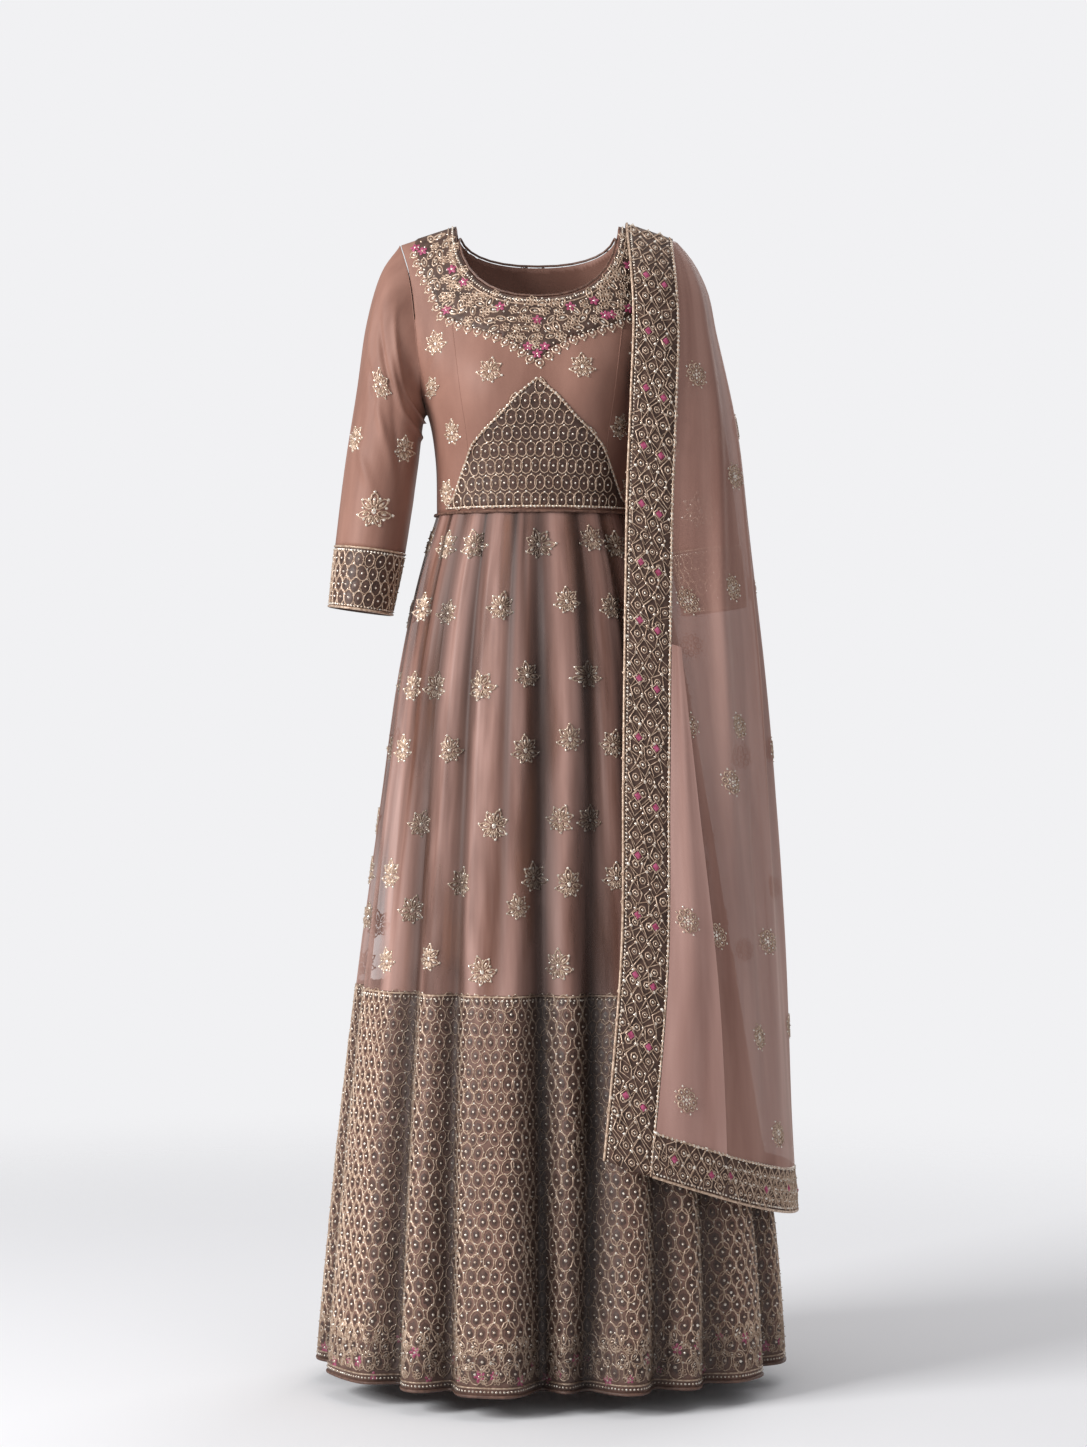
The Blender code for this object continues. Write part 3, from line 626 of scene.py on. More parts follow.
BODICE_CREASES = table(
    "across down slant length width height",
    (0.12, 0.62, 52, 0.030, 0.006, 0.0016), (0.15, 0.70, 60, 0.026, 0.005, -0.0014),
    (0.88, 0.60, -54, 0.032, 0.006, 0.0016), (0.86, 0.69, -62, 0.024, 0.005, -0.0013),
    (0.27, 0.86, 8, 0.022, 0.007, 0.0013), (0.73, 0.87, -10, 0.024, 0.007, 0.0012),
    (0.20, 0.42, 30, 0.030, 0.008, -0.0011), (0.80, 0.43, -28, 0.028, 0.008, -0.0011),
    (0.50, 0.60, 90, 0.035, 0.010, -0.0016), (0.08, 0.88, 14, 0.020, 0.005, 0.0012),
    (0.92, 0.89, -12, 0.022, 0.005, 0.0012),
)
front = HALVES[-1] = creased(front, BODICE_CREASES)
back = HALVES[1] = creased(back, BODICE_CREASES)

# %% Outlines in the front view, and cutting a grid to one
def neck_curve(depth, spare=0.0, count=41):
    """Places on the neck edge, from -X to +X."""
    turns = np.linspace(-pi / 2, pi / 2, count)
    x = np.sign(turns) * np.abs(np.sin(turns)) ** (2 / NECK_SQUARE) * (NECK_X + spare)
    z = -np.cos(turns).clip(0) ** (2 / NECK_SQUARE) * (depth + spare)
    return np.stack((x, z), -1)


def inside(places, outline):
    """Which places lie inside a closed outline."""
    x, z = places[..., 0, None], places[..., 1, None]
    a, b = outline, np.roll(outline, -1, axis=0)
    crosses = (a[:, 1] > z) != (b[:, 1] > z)
    with np.errstate(divide="ignore", invalid="ignore"):
        at = a[:, 0] + (z - a[:, 1]) / (b[:, 1] - a[:, 1]) * (b[:, 0] - a[:, 0])
    return (crosses & (x < at)).sum(-1) % 2 == 1


def nearest(places, outline):
    """The nearest place on a closed outline to each place."""
    a, b = outline, np.roll(outline, -1, axis=0)
    along = ((places[:, None] - a) * (b - a)).sum(-1) / ((b - a) ** 2).sum(-1).clip(1e-12)
    on = a + np.clip(along, 0, 1)[..., None] * (b - a)
    best = ((places[:, None] - on) ** 2).sum(-1).argmin(1)
    return on[np.arange(len(places)), best]


def trimmed(outline, side, keep=True):
    """A cutter for shell(): keeps what is inside an outline, or drops it."""
    def cut(grid, lift):
        flat = np.array([(v.co.x, v.co.z) for v in grid.verts])
        drop = inside(flat, outline) != keep
        rim = {v.index for e in grid.edges if e.is_boundary for v in e.verts}
        grid.verts.ensure_lookup_table()
        bmesh.ops.delete(grid, geom=[v for v, gone in zip(list(grid.verts), drop) if gone],
                         context="VERTS")
        edge = [v for v in grid.verts if v.is_boundary and v.index not in rim]
        flat = nearest(np.array([(v.co.x, v.co.z) for v in edge]), outline)
        points = torso_at(flat[:, 0], flat[:, 1], side)
        for v, p in zip(edge, points):
            v.co = p + np.array((0, side * lift, 0))
    return cut


ABOVE = 0.05              # a level clear above the shoulders
over = np.array([(NECK_X, ABOVE), (-NECK_X, ABOVE)])
NECKS = {-1: FRONT_NECK, 1: BACK_NECK}
CLOTH_WALL, SATIN_WALL = 0.0009, 0.0008
for side, name, nodes in ((-1, "bodice_front_cloth", ("bodice_front", "bodice_side_front_left",
                                                      "bodice_side_front_right")),
                          (1, "bodice_back_cloth", ("bodice_back_left", "bodice_back_right"))):
    neck = np.vstack((neck_curve(NECKS[side]), over))
    panel = shell(name, HALVES[side], body_cloth, CLOTH_WALL, trim=trimmed(neck, side, False))
    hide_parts(*nodes)

# %% [markdown]
# ## The skirt
# The skirt is cut in gores, and its fullness falls in fourteen large folds with small gathers
# between them. A section is an ellipse with a trough pressed in between two folds. The columns
# of the net of points are spaced by length along the cloth, so a pattern keeps its width even
# where it turns into a fold.

# %% The surface of the skirt
RIPPLES = table(          # small gathers: degrees at waist and hem, height, half-width, top, end
    "waist hem height width top end",
    (-12, -11, -0.006, 2.8, -0.350, -1.00),
    (-70, -67, 0.004, 2.4, -0.350, -1.02), (-57, -55, -0.003, 1.6, -0.352, -0.86),
    (-50, -52, 0.003, 1.8, -0.40, -1.15), (-36, -33, 0.004, 1.8, -0.350, -1.00),
    (-30, -27, -0.004, 1.5, -0.352, -0.80), (-23, -21, 0.004, 1.4, -0.350, -0.95),
    (-11, -9, 0.004, 1.6, -0.350, -1.05), (-6.5, -5, -0.003, 1.0, -0.352, -0.72),
    (3, 5.5, 0.004, 1.6, -0.350, -0.98), (17, 19, 0.004, 1.7, -0.350, -1.04),
    (22.5, 24, -0.003, 1.2, -0.352, -0.84), (36, 37, 0.004, 1.8, -0.350, -0.96),
    (54, 53, 0.004, 2.2, -0.350, -1.06), (62, 60, -0.003, 1.8, -0.352, -0.82),
    (86, 84, 0.004, 2.4, -0.350, -1.10), (97, 95, -0.003, 1.8, -0.352, -0.84),
    (115, 115, 0.004, 2.0, -0.350, -0.98), (124, 124, 0.003, 1.7, -0.352, -0.80),
    (146, 147, 0.004, 2.2, -0.350, -1.04), (153, 154, -0.003, 1.5, -0.352, -0.86),
    (170, 171, 0.004, 2.0, -0.350, -1.00), (180, 181, 0.003, 1.8, -0.352, -0.78),
    (201, 202, 0.004, 2.2, -0.350, -1.08), (209, 210, -0.003, 1.5, -0.352, -0.84),
    (229, 230, 0.004, 2.2, -0.350, -1.00), (238, 239, 0.003, 1.6, -0.352, -0.82),
    (258, 260, 0.004, 2.2, -0.350, -1.05), (268, 270, -0.003, 1.7, -0.352, -0.86),
)


def half_axes(right, ahead, z):
    """Half the skirt's width and depth, on the right or left and before or behind."""
    return (np.where(right, curve(SKIRT, "right", z), curve(SKIRT, "left", z)),
            np.where(ahead, curve(SKIRT, "front", z), curve(SKIRT, "back", z)))


def aside(angle, start, end, fall):
    """How far angles are from the middle of a fold, which drifts from the waist to the hem."""
    middle = np.radians(start + (end - start) * fall)
    return (angle - middle + pi) % (2 * pi) - pi


def skirt(angle, z):
    """Points of the skirt at angles from the front towards +X."""
    width, depth = half_axes(np.sin(angle) > 0, np.cos(angle) > 0, z)
    fall = np.clip((WAIST - z) / (WAIST - HEM), 0, 1.05)
    press = 0.0
    for start, end, deep, half in zip(*TROUGHS.values()):
        away = aside(angle, start, end, fall)
        press = press + (0.0012 + deep * fall ** 1.25) * np.exp(-(away / radians(half)) ** 2)
    for start, end, height, half, top, low in zip(*RIPPLES.values()):
        away = aside(angle, start, end, fall)
        share = np.clip((top - z) / (top - low), 0, 1)
        fade = np.clip(share / 0.12, 0.25, 1) * (1 - share ** 3)
        press = press - height * fade * np.exp(-(away / radians(half)) ** 2)
    x = (width - press) * np.sin(angle)
    y = -(depth - press) * np.cos(angle)
    return np.stack((x, y, np.broadcast_to(z, np.shape(angle)) + 0.0), -1)


def painted_shade_depth(points):
    """How deep the painted shade at points is: 0 on the crests, 1 at the bottom of a trough, and a
    band above the hem darker too.
    """
    x, y, z = points[:, 0], points[:, 1], np.clip(points[:, 2], HEM, WAIST)
    width, depth = half_axes(x > 0, y < 0, z)
    angle, fall = np.arctan2(x / width, -y / depth), (WAIST - z) / (WAIST - HEM)
    most = np.zeros(len(points))
    for start, end, deep, half in zip(*TROUGHS.values()):
        away = aside(angle, start, end, fall)
        size = min(1.0, 0.30 + deep / 0.055) * np.clip(0.85 + 1.0 * fall, 0, 1)
        most = np.maximum(most, size * np.exp(-(away / radians(1.15 * half)) ** 2))
    for start, end, height, half, top, low in zip(*RIPPLES.values()):
        if height < 0:
            away = aside(angle, start, end, fall)
            fade = np.clip((z - low) / (top - low), 0, 1) ** 0.7
            most = np.maximum(most, fade * np.exp(-(away / radians(1.2 * half)) ** 2))
    # The painted shade also darkens a band just above the hem.
    near_hem = 0.30 * np.clip((HEM + 0.062 - points[:, 2]) / 0.02, 0, 1)
    return np.clip(most + near_hem * (1 - most), 0, 1)


GORES = len(TROUGHS["hem"])
CELL = 0.0145             # width of a cell of the lattice
PER_CELL = 4              # columns of the net of points to a cell


def gores(z):
    """Fine angles across each gore at a height."""
    starts = TROUGHS["waist"] + (TROUGHS["hem"] - TROUGHS["waist"]) * (WAIST - z) / (WAIST - HEM)
    return [np.radians(start + (end - start) % 360 * np.linspace(0, 1, 90))
            for start, end in zip(starts, np.roll(starts, -1))]


def gore_turns(z, counts):
    """Angles of all the columns at a height, evenly spaced along the cloth of each gore."""
    turns = []
    for fine, count in zip(gores(z), counts):
        length = run_length(skirt(fine, z))
        wanted = np.linspace(0, length[-1], PER_CELL * count + 1)[:-1]
        turns.append(np.interp(wanted, length, fine))
    return np.concatenate(turns)


def gore_cells(z):
    """How many cells of the lattice go into each gore."""
    return [round(run_length(skirt(fine, z))[-1] / CELL) for fine in gores(z)]


def skirt_cloth(heights, counts):
    """The net of points of the skirt over some heights."""
    return Cloth(np.stack([skirt(gore_turns(z, counts), z) for z in heights], 1), closed=True)


CELLS = gore_cells(-1.15)
upper = skirt_cloth(np.linspace(WAIST, BORDER_TOP, 85), CELLS)
lower = skirt_cloth(np.linspace(BORDER_TOP, HEM, 101), CELLS)
print("cells round the hem:", sum(CELLS), "hem length", (lower.wide[:, -1]).sum())

# %% The net, the ground of the border and the lining
kalis = [f"kali_{n:02}" for n in range(1, GORES + 1)]
# The net and the border ground are darkened by painted shade in the folds.
skirt_piece = shell("skirt_net_cloth", upper, skirt_net, every=(2, 2), shade=painted_shade_depth)
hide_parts(*kalis)
hem_piece = shell("hem_border_cloth", lower, border_ground, CLOTH_WALL, every=(2, 4), shade=painted_shade_depth)
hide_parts(*[name.replace("kali", "border") for name in kalis])


def lining(angle, z):
    """Points of the lining, a flared cone with shallow waves inside the folds."""
    fall = (WAIST - z) / (WAIST - HEM)
    inset = 0.0038 + 0.064 * fall
    wave = 0.0035 * fall * (np.sin(9 * angle + 1.3) + 0.7 * np.sin(14 * angle + 4 * fall))
    width, depth = half_axes(np.sin(angle) > 0, np.cos(angle) > 0, z)
    x = (width - inset + wave) * np.sin(angle)
    return np.stack((x, -(depth - inset + wave) * np.cos(angle), z + 0 * angle), -1)


turns, levels = np.meshgrid(np.linspace(0, 2 * pi, 145)[:-1],
                            np.linspace(WAIST - 0.004, LINING_HEM, 41), indexing="ij")
# The lining is darkened by painted shade in the skirt's folds as well.
lining_piece = shell("lining_cloth", Cloth(lining(turns, levels), closed=True), lining_satin,
                     SATIN_WALL, shade=painted_shade_depth)
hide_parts(*[f"lining_{n}" for n in range(1, 7)])

# %% [markdown]
# ## The sleeves
# Each sleeve is one tube from the armhole seam to a deep embroidered cuff. Its first ring is
# the armhole itself, and a smooth curve runs from ring to ring. The satin under the net folds
# softly across the elbow, so the creases slant.

# %% The sleeve's net of points
def sleeve_cloth(hand, steps):
    """The net of points of a sleeve; hand is 1 on the wearer's left and -1 on the right."""
    down = UNDERARM * np.linspace(0, 1, 41) ** 0.75
    first, second = (1, -1) if hand > 0 else (-1, 1)
    rings = [torso(hand * edge_angle(down), down, first),
             torso(hand * edge_angle(down[::-1]), down[::-1], second)[1:-1]]
    seam = np.concatenate(rings)
    lowest = len(down) - 1
    middle = (seam[0] + seam[lowest]) / 2
    axis = seam[0] - middle
    up = (seam - middle) @ axis / (axis @ axis)
    ahead = np.where(np.arange(len(seam)) <= lowest, -first, first)
    turns = np.arccos(np.clip(up, -1, 1)) * ahead
    control = [seam]
    for k in range(len(SLEEVE["step"])):
        outer = np.array((SLEEVE["outer_x"][k], 0, SLEEVE["outer_z"][k]))
        inner = np.array((SLEEVE["inner_x"][k], 0, SLEEVE["inner_z"][k]))
        centre = (outer + inner) / 2 - (0, SLEEVE["forward"][k], 0)
        deep = np.array((0, -SLEEVE["half_depth"][k], 0))
        ring = (centre + np.cos(turns)[:, None] * (outer - inner) / 2
                + np.sin(turns)[:, None] * deep)
        control.append(ring * (hand, 1, 1))
    control = np.array(control)
    slope = np.gradient(control, axis=0)
    k = np.clip(np.floor(steps).astype(int), 0, len(control) - 2)
    t = (steps - k)[:, None, None]
    points = ((1 + 2 * t) * (1 - t) ** 2 * control[k] + t * t * (3 - 2 * t) * control[k + 1]
              + t * (1 - t) ** 2 * slope[k] - t * t * (1 - t) * slope[k + 1])
    return Cloth(points.transpose(1, 0, 2), closed=True)


SLEEVE_CREASES = table(
    "across down slant length width height",
    (0.68, 0.30, 38, 0.045, 0.008, 0.0028), (0.74, 0.42, 48, 0.040, 0.007, -0.0026),
    (0.63, 0.50, 30, 0.050, 0.008, 0.0026), (0.80, 0.55, 55, 0.036, 0.006, -0.0022),
    (0.70, 0.66, 42, 0.042, 0.007, 0.0026), (0.60, 0.72, 24, 0.038, 0.006, -0.0020),
    (0.77, 0.80, 60, 0.030, 0.006, 0.0022), (0.88, 0.38, 20, 0.050, 0.009, 0.0020),
    (0.54, 0.60, 62, 0.026, 0.005, 0.0024), (0.50, 0.45, 75, 0.024, 0.005, 0.0024),
    (0.30, 0.34, -36, 0.045, 0.008, 0.0026), (0.24, 0.48, -46, 0.040, 0.007, -0.0024),
    (0.34, 0.60, -30, 0.042, 0.007, 0.0024), (0.20, 0.70, -50, 0.034, 0.006, -0.0020),
    (0.40, 0.80, -60, 0.028, 0.005, 0.0022),
)
MIRRORED = dict(SLEEVE_CREASES, across=1 - SLEEVE_CREASES["across"],
                slant=-SLEEVE_CREASES["slant"])
sleeves, cuffs = {}, {}
for hand, side in ((1, "left"), (-1, "right")):
    creases = SLEEVE_CREASES if hand > 0 else MIRRORED
    creases = dict(creases, height=creases["height"] * 1.6)
    sleeves[hand] = creased(sleeve_cloth(hand, np.linspace(0, CUFF_STEP, 91)), creases)
    cuffs[hand] = sleeve_cloth(hand, np.linspace(CUFF_STEP, 6, 19))
    arm = shell(f"sleeve_{side}_cloth", sleeves[hand], body_cloth, CLOTH_WALL)
    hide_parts(f"sleeve_{side}")
    cuff = shell(f"cuff_{side}_cloth", cuffs[hand], trim_ground, 0.0012)
    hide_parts(f"cuff_{side}")

# %% [markdown]
# ## The dupatta
# The dupatta is a long sheer net scarf, joined to the gown over the left shoulder. It falls
# before and behind the arm, with an embroidered border down both long edges and across its
# end. Its front layer folds back on itself and opens out below, so each stretch that shows is
# its own net of points.

# %% The dupatta's nets of points
BORDER_WIDTH, END_DEPTH, DROP, LAYER = 0.055, 0.052, 1.15, 0.004
FALL_TOP, FALL_SLOPE, FRONT_END, BACK_END = 0.0065, 0.0205, -1.103, -1.190
PLEAT_TOP, PLEAT_IN, PLEAT_OPEN, PLEAT_TUCK, SIDE_ANGLE = 0.38, 0.056, 0.088, 0.10, 1.9


def drape(angle, row, inset=0.0):
    """Points of the dupatta: 0 is its front inner edge, a half turn its back inner edge."""
    inner, outer = curve(DUPATTA, "inner", row), curve(DUPATTA, "outer", row)
    before = angle < pi / 2
    deep = np.where(before, curve(DUPATTA, "front", row), curve(DUPATTA, "back", row)) - inset
    out = np.sin(angle)
    top = FALL_TOP - FALL_SLOPE * out
    low = np.where(before, FRONT_END + (BACK_END - FRONT_END) * out, BACK_END)
    return np.stack((inner + (outer - inner - inset) * out, -deep * np.cos(angle),
                     top + (low - top) * row), -1)


def angle_at(width, row):
    """The angle of the dupatta at a width in from its front inner edge."""
    room = curve(DUPATTA, "outer", row) - curve(DUPATTA, "inner", row)
    return np.arcsin(np.minimum(width / room, 0.98))


def strip_edge(row):
    return angle_at(np.minimum(BORDER_WIDTH, 0.8 * (0.062 + row)), row)


def pleat_angle(row):
    return angle_at(PLEAT_IN + PLEAT_OPEN * np.maximum(row - PLEAT_TOP, 0) / (1 - PLEAT_TOP), row)


def hidden_edge(row):
    return np.maximum(pleat_angle(row) - PLEAT_TUCK, 0.03)


def fall_cloth(start, end, first, last, columns, count, inset=0.0):
    """A stretch between two angles, each a number or a function of the row."""
    share, row = np.meshgrid(np.linspace(0, 1, columns), np.linspace(first, last, count),
                             indexing="ij")
    a = start(row) if callable(start) else start
    b = end(row) if callable(end) else end
    return Cloth(drape(a + (b - a) * share, row, inset))


def back_edge(row):
    return pi - strip_edge(row)


TOP_ROW, END_ROW, FOLD_ROW = 0.004, 1 - END_DEPTH / DROP, 0.45
FRONT_FOLDS = table(
    "across down slant length width height",
    (0.45, 0.55, 2, 0.20, 0.012, 0.0030), (0.75, 0.75, 4, 0.16, 0.010, -0.0022),
)
SIDE_FOLDS = table(
    "across down slant length width height",
    (0.30, 0.45, 3, 0.30, 0.011, 0.0080), (0.42, 0.70, 4, 0.30, 0.012, -0.0060),
    (0.55, 0.50, 2, 0.34, 0.012, 0.0085), (0.66, 0.30, 1, 0.22, 0.010, -0.0055),
    (0.74, 0.66, -2, 0.34, 0.013, 0.0085), (0.86, 0.45, 0, 0.34, 0.012, -0.0060),
)
BACK_FOLDS = table(
    "across down slant length width height",
    (0.15, 0.50, 1, 0.36, 0.014, 0.0055), (0.34, 0.62, -2, 0.30, 0.012, -0.0040),
    (0.52, 0.48, -1, 0.36, 0.015, 0.0060), (0.72, 0.70, -3, 0.28, 0.012, -0.0040),
)
front_strip = fall_cloth(0.0, strip_edge, TOP_ROW, 1.0, 9, 221)
back_strip = fall_cloth(back_edge, pi, TOP_ROW, 1.0, 9, 221, LAYER)
front_net = creased(fall_cloth(strip_edge, pleat_angle, FOLD_ROW, END_ROW, 17, 121, -0.003),
                    FRONT_FOLDS)
side_net = creased(fall_cloth(hidden_edge, SIDE_ANGLE, TOP_ROW, END_ROW, 61, 201, LAYER),
                   SIDE_FOLDS)
back_net = creased(fall_cloth(SIDE_ANGLE, back_edge, TOP_ROW, END_ROW, 41, 201, LAYER),
                   BACK_FOLDS)
front_end = fall_cloth(strip_edge, pleat_angle, END_ROW, 1.0, 17, 13, -0.003)
side_end = fall_cloth(hidden_edge, SIDE_ANGLE, END_ROW, 1.0, 61, 13, LAYER)
back_end = fall_cloth(SIDE_ANGLE, back_edge, END_ROW, 1.0, 41, 13, LAYER)

# %% The dupatta's cloths
STRETCHES = (
    ("dupatta_front_border_cloth", front_strip, trim_ground, ["dupatta_front_border"],
     (0.062, 1.15), "embroidery"),
    ("dupatta_back_border_cloth", back_strip, trim_ground, ["dupatta_back_border"],
     (0.062, 1.18), "embroidery"),
    ("dupatta_front_net", front_net, folded_net, ["dupatta_front"], (0.06, 0.58), "net"),
    ("dupatta_side_net", side_net, dupatta_net, ["dupatta_side_upper", "dupatta_side_lower"],
     (0.24, 1.10), "net"),
    ("dupatta_back_net", back_net, dupatta_net, ["dupatta_back"], (0.16, 1.10), "net"),
    ("dupatta_front_end_cloth", front_end, trim_ground, ["dupatta_end_front"],
     (0.10, 0.054), "embroidery"),
    ("dupatta_side_end_cloth", side_end, trim_ground, ["dupatta_end_side"],
     (0.31, 0.054), "embroidery"),
    ("dupatta_back_end_cloth", back_end, trim_ground, ["dupatta_end_back"],
     (0.24, 0.054), "embroidery"),
)
for name, cloth, mat, nodes, flat, slot in STRETCHES:
    wall = 0.0 if slot == "net" else CLOTH_WALL
    piece = shell(name, cloth, mat, wall, every=(1, 2))
    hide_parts(*nodes)

# %% The gathers over the shoulder
INNER, OUTER = 0.1070, 0.1690 - LAYER
x, y = np.meshgrid(np.linspace(INNER, 0.985 * OUTER + 0.015 * INNER, 29),
                   np.linspace(0.0150, -0.0150, 21), indexing="ij")
reach = np.sqrt(1 - ((x - INNER) / (OUTER - INNER)) ** 2)
fold = 0.0008 * np.cos((x - INNER) / (OUTER - INNER) * 8 * pi)
gather = Cloth(np.stack((x, -y * reach, ridge(x) + FALL_TOP + 0.0006 + fold
                         - 0.0022 * (y / 0.0125) ** 2), -1)[:, ::-1])
gather_piece = shell("dupatta_shoulder_gathers", gather, border_ground, CLOTH_WALL)
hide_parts("dupatta_shoulder")

# %% [markdown]
# ## Trims on the bodice
# The neck yoke and the pointed waist panel are worked on their own net and sewn over the
# bodice. Each is the bodice's own net of points moved out, cut to its outline.

# %% The yokes and the waist panel
def mirrored(edge):
    """A half edge from the centre out, as places from the right end of it to the left."""
    half = np.stack((edge["x"], edge["z"]), -1)
    fine = np.linspace(0, len(half) - 1, 4 * len(half) - 3)
    x = np.interp(fine, np.arange(len(half)), half[:, 0])
    z = np.interp(fine, np.arange(len(half)), half[:, 1])
    half = np.stack((x, z), -1)
    return np.vstack((half[::-1], half[1:] * (-1, 1)))


TRIM_LIFT = 0.0013
yoke_outlines = {}
for side, edge, name, node in ((-1, YOKE_EDGE, "neck_yoke_front_ground", "neck_yoke_front"),
                               (1, BACK_YOKE_EDGE, "neck_yoke_back_ground", "neck_yoke_back")):
    outer = mirrored(edge)
    neck = neck_curve(NECKS[side], 0.0005)
    corners = [(outer[-1, 0], ABOVE), (neck[0, 0], ABOVE)]
    ends = [(neck[-1, 0], ABOVE), (outer[0, 0], ABOVE)]
    outline = np.vstack((outer, corners, neck, ends))
    yoke_outlines[side] = outline
    yoke = shell(name, HALVES[side], trim_ground, 0.0008, TRIM_LIFT, trim=trimmed(outline, side))
    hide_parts(node)
arch = mirrored(ARCH)
arch_outline = np.vstack((arch, [(arch[-1, 0], WAIST + 0.003), (arch[0, 0], WAIST + 0.003)]))
panel = shell("waist_panel_ground", front, trim_ground, 0.0008, TRIM_LIFT,
              trim=trimmed(arch_outline, -1))
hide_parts("waist_panel")

# %% [markdown]
# ## Motifs
# The lattice cell is a pointed oval of couched zari over a flat dark patch of painted shadow, with
# a glass bead at its heart and a seed bead where cells meet. The sprays on the skirt are stars of
# pointed loops filled with beads, and the dupatta's are round. Small rose flowers brighten the yoke
# and the borders.

# %% Charting the motifs
CELL_WIDE, CELL_HIGH = 0.0136, 0.0205
# Each cell lies over a flat dark patch, kind 3, which is painted shadow between its cords.
cell = together(loop(CELL_WIDE, 0.0200, 10, width=0.0013, height=0.0013),
                dome(0.0082, 0.0122, 0.0006, sides=6, kind=3), dome(0.0034, height=0.0028, sides=6),
                moved(dome(0.0028, height=0.0020, sides=5), 0.0, CELL_HIGH / 2),
                moved(dome(0.0024, height=0.0018, sides=4), 0.0069, 0.0035))
petal = dome(0.0042, 0.0062, 0.0014, sides=6, kind=2)
rose = together(petals(5, 0.0036, petal), dome(0.0030, height=0.0024, sides=6))
gold_petal = loop(0.0044, 0.0070, 6, width=0.0014, height=0.0014)
gold_flower = together(petals(6, 0.0036, gold_petal), dome(0.0032, height=0.0024, sides=6))
small_leaf = together(loop(0.0064, 0.0124, 8, width=0.0016, height=0.0014),
                      dome(0.0024, 0.0052, 0.0014, sides=5))
LEAF_OUT = 0.0066         # from a leaf's foot to its middle
leaf = moved(small_leaf, 0, LEAF_OUT)
SPRAY = (                 # one star: x, y, length scale, turn in degrees
    (0.0, 0.003, 1.15, 0), (0.002, 0.002, 1.05, -48), (-0.002, 0.002, 1.05, 48),
    (0.003, -0.002, 1.0, -102), (-0.003, -0.002, 1.0, 102), (0.0015, -0.004, 0.85, -155),
    (-0.0015, -0.004, 0.85, 155),
)
spray = together(
    *[moved(leaf, x, y, turn, scale) for x, y, scale, turn in SPRAY],
    *[moved(dome(0.0034, 0.0064, 0.0024, sides=6, kind=0), -sin(radians(a)) * 0.0085,
            cos(radians(a)) * 0.0085, a) for a in (0, -48, 48, -102, 102, -155, 155)],
    *[moved(dome(0.0034, height=0.0026, sides=5), -sin(radians(a)) * r, cos(radians(a)) * r)
      for a, r in ((0, .0185), (24, .0125), (-24, .0125), (-48, .0165), (48, .0165), (75, .0115),
                   (-75, .0115), (102, .0170), (-102, .0170), (130, .0125), (-130, .0125),
                   (155, .0150), (-155, .0150), (180, .0115))],
    dome(0.0050, 0.0066, 0.0026, sides=6))
ring = loop(0.0075, 0.0080, 6, width=0.0016, height=0.0014)
round_flower = together(petals(8, 0.0098, together(ring, dome(0.0024, height=0.0014))),
                        petals(8, 0.0158, dome(0.0028, height=0.0016), 22.5),
                        petals(6, 0.0048, dome(0.0030, 0.0040, height=0.0016)),
                        dome(0.0048, height=0.0026, sides=6))
print("triangles: cell", len(cell[1]), "spray", len(spray[1]), "round", len(round_flower[1]))

# %% Lines of cord and rows of beads along a cloth
def run(cloth, i, j, width, height, kind=0, lift=0.0, closed=False):
    """A half-round cord through columns i and rows j."""
    i, j = np.broadcast_arrays(np.asarray(i, float), np.asarray(j, float))
    middle = cloth.at(i, j, lift)
    out = unit(cloth.blend(cloth.normals, i, j))
    side = unit(np.cross(out, heading(middle, closed)))
    grid = bmesh.new()
    bmesh.ops.create_grid(grid, x_segments=len(middle) - 1, y_segments=4, size=1)
    for v in grid.verts:
        k, turn = round((v.co.x + 1) / 2 * (len(middle) - 1)), v.co.y * pi / 2
        v.co = middle[k] + side[k] * sin(turn) * width / 2 + out[k] * cos(turn) * height
    bmesh.ops.remove_doubles(grid, verts=grid.verts, dist=1e-6)
    grid.verts.index_update()
    return shape_of(grid, kind)


def beads(cloth, i, j, pitch, bead, lift=0.0):
    """Beads at an even pitch along a line of columns i and rows j."""
    i, j = np.broadcast_arrays(np.asarray(i, float), np.asarray(j, float))
    line = cloth.at(i, j)
    length = run_length(line)
    wanted = np.arange(pitch / 2, length[-1], pitch)
    return stamp(cloth, bead, np.interp(wanted, length, i), np.interp(wanted, length, j), lift=lift)


pearl = dome(0.0028, height=0.0020, sides=6)

# %% [markdown]
# ## The hem border
# The border is a lattice from edge to edge, and a floral band runs above the hem with a rose
# flower every 55 mm. Hand work is never quite regular, so each cell is a little larger or
# smaller than its neighbours and a little turned.

# %% The lattice of the hem
BAND = 0.068              # depth of the floral band above the hem
row_high = (BORDER_TOP - HEM) / (lower.rows - 1)
half_rows = np.arange(0.008, BORDER_TOP - HEM - 0.014, 0.76 * CELL_HIGH) / row_high
columns = np.arange(sum(CELLS)) * PER_CELL
quarter = len(columns) // 4 + 1


def lattice(cloth, columns, rows):
    """Cells at columns and rows, every other row half a cell along, unevenly worked."""
    i, j = np.meshgrid(columns, rows, indexing="ij")
    i = i + (np.arange(len(rows)) % 2) * PER_CELL / 2
    i, j = i.ravel(), j.ravel()
    i = i + rng.normal(0, 0.28, i.shape)
    j = j + rng.normal(0, 0.0011, j.shape) / cloth.high.mean()
    wide = cloth.size_at(i, j)[0] * PER_CELL / CELL
    scale = rng.normal(1.0, 0.10, i.shape) * np.clip(wide, 0.85, 1.15)
    return stamp(cloth, cell, i, j, scale, rng.normal(0, 14, i.shape))


# The lattice is darkened by painted shade in the folds, like the ground under it.
for n in range(4):
    joined(f"hem_lattice_{n + 1}", lattice(lower, columns[n * quarter:(n + 1) * quarter],
                                           half_rows), shade=painted_shade_depth)

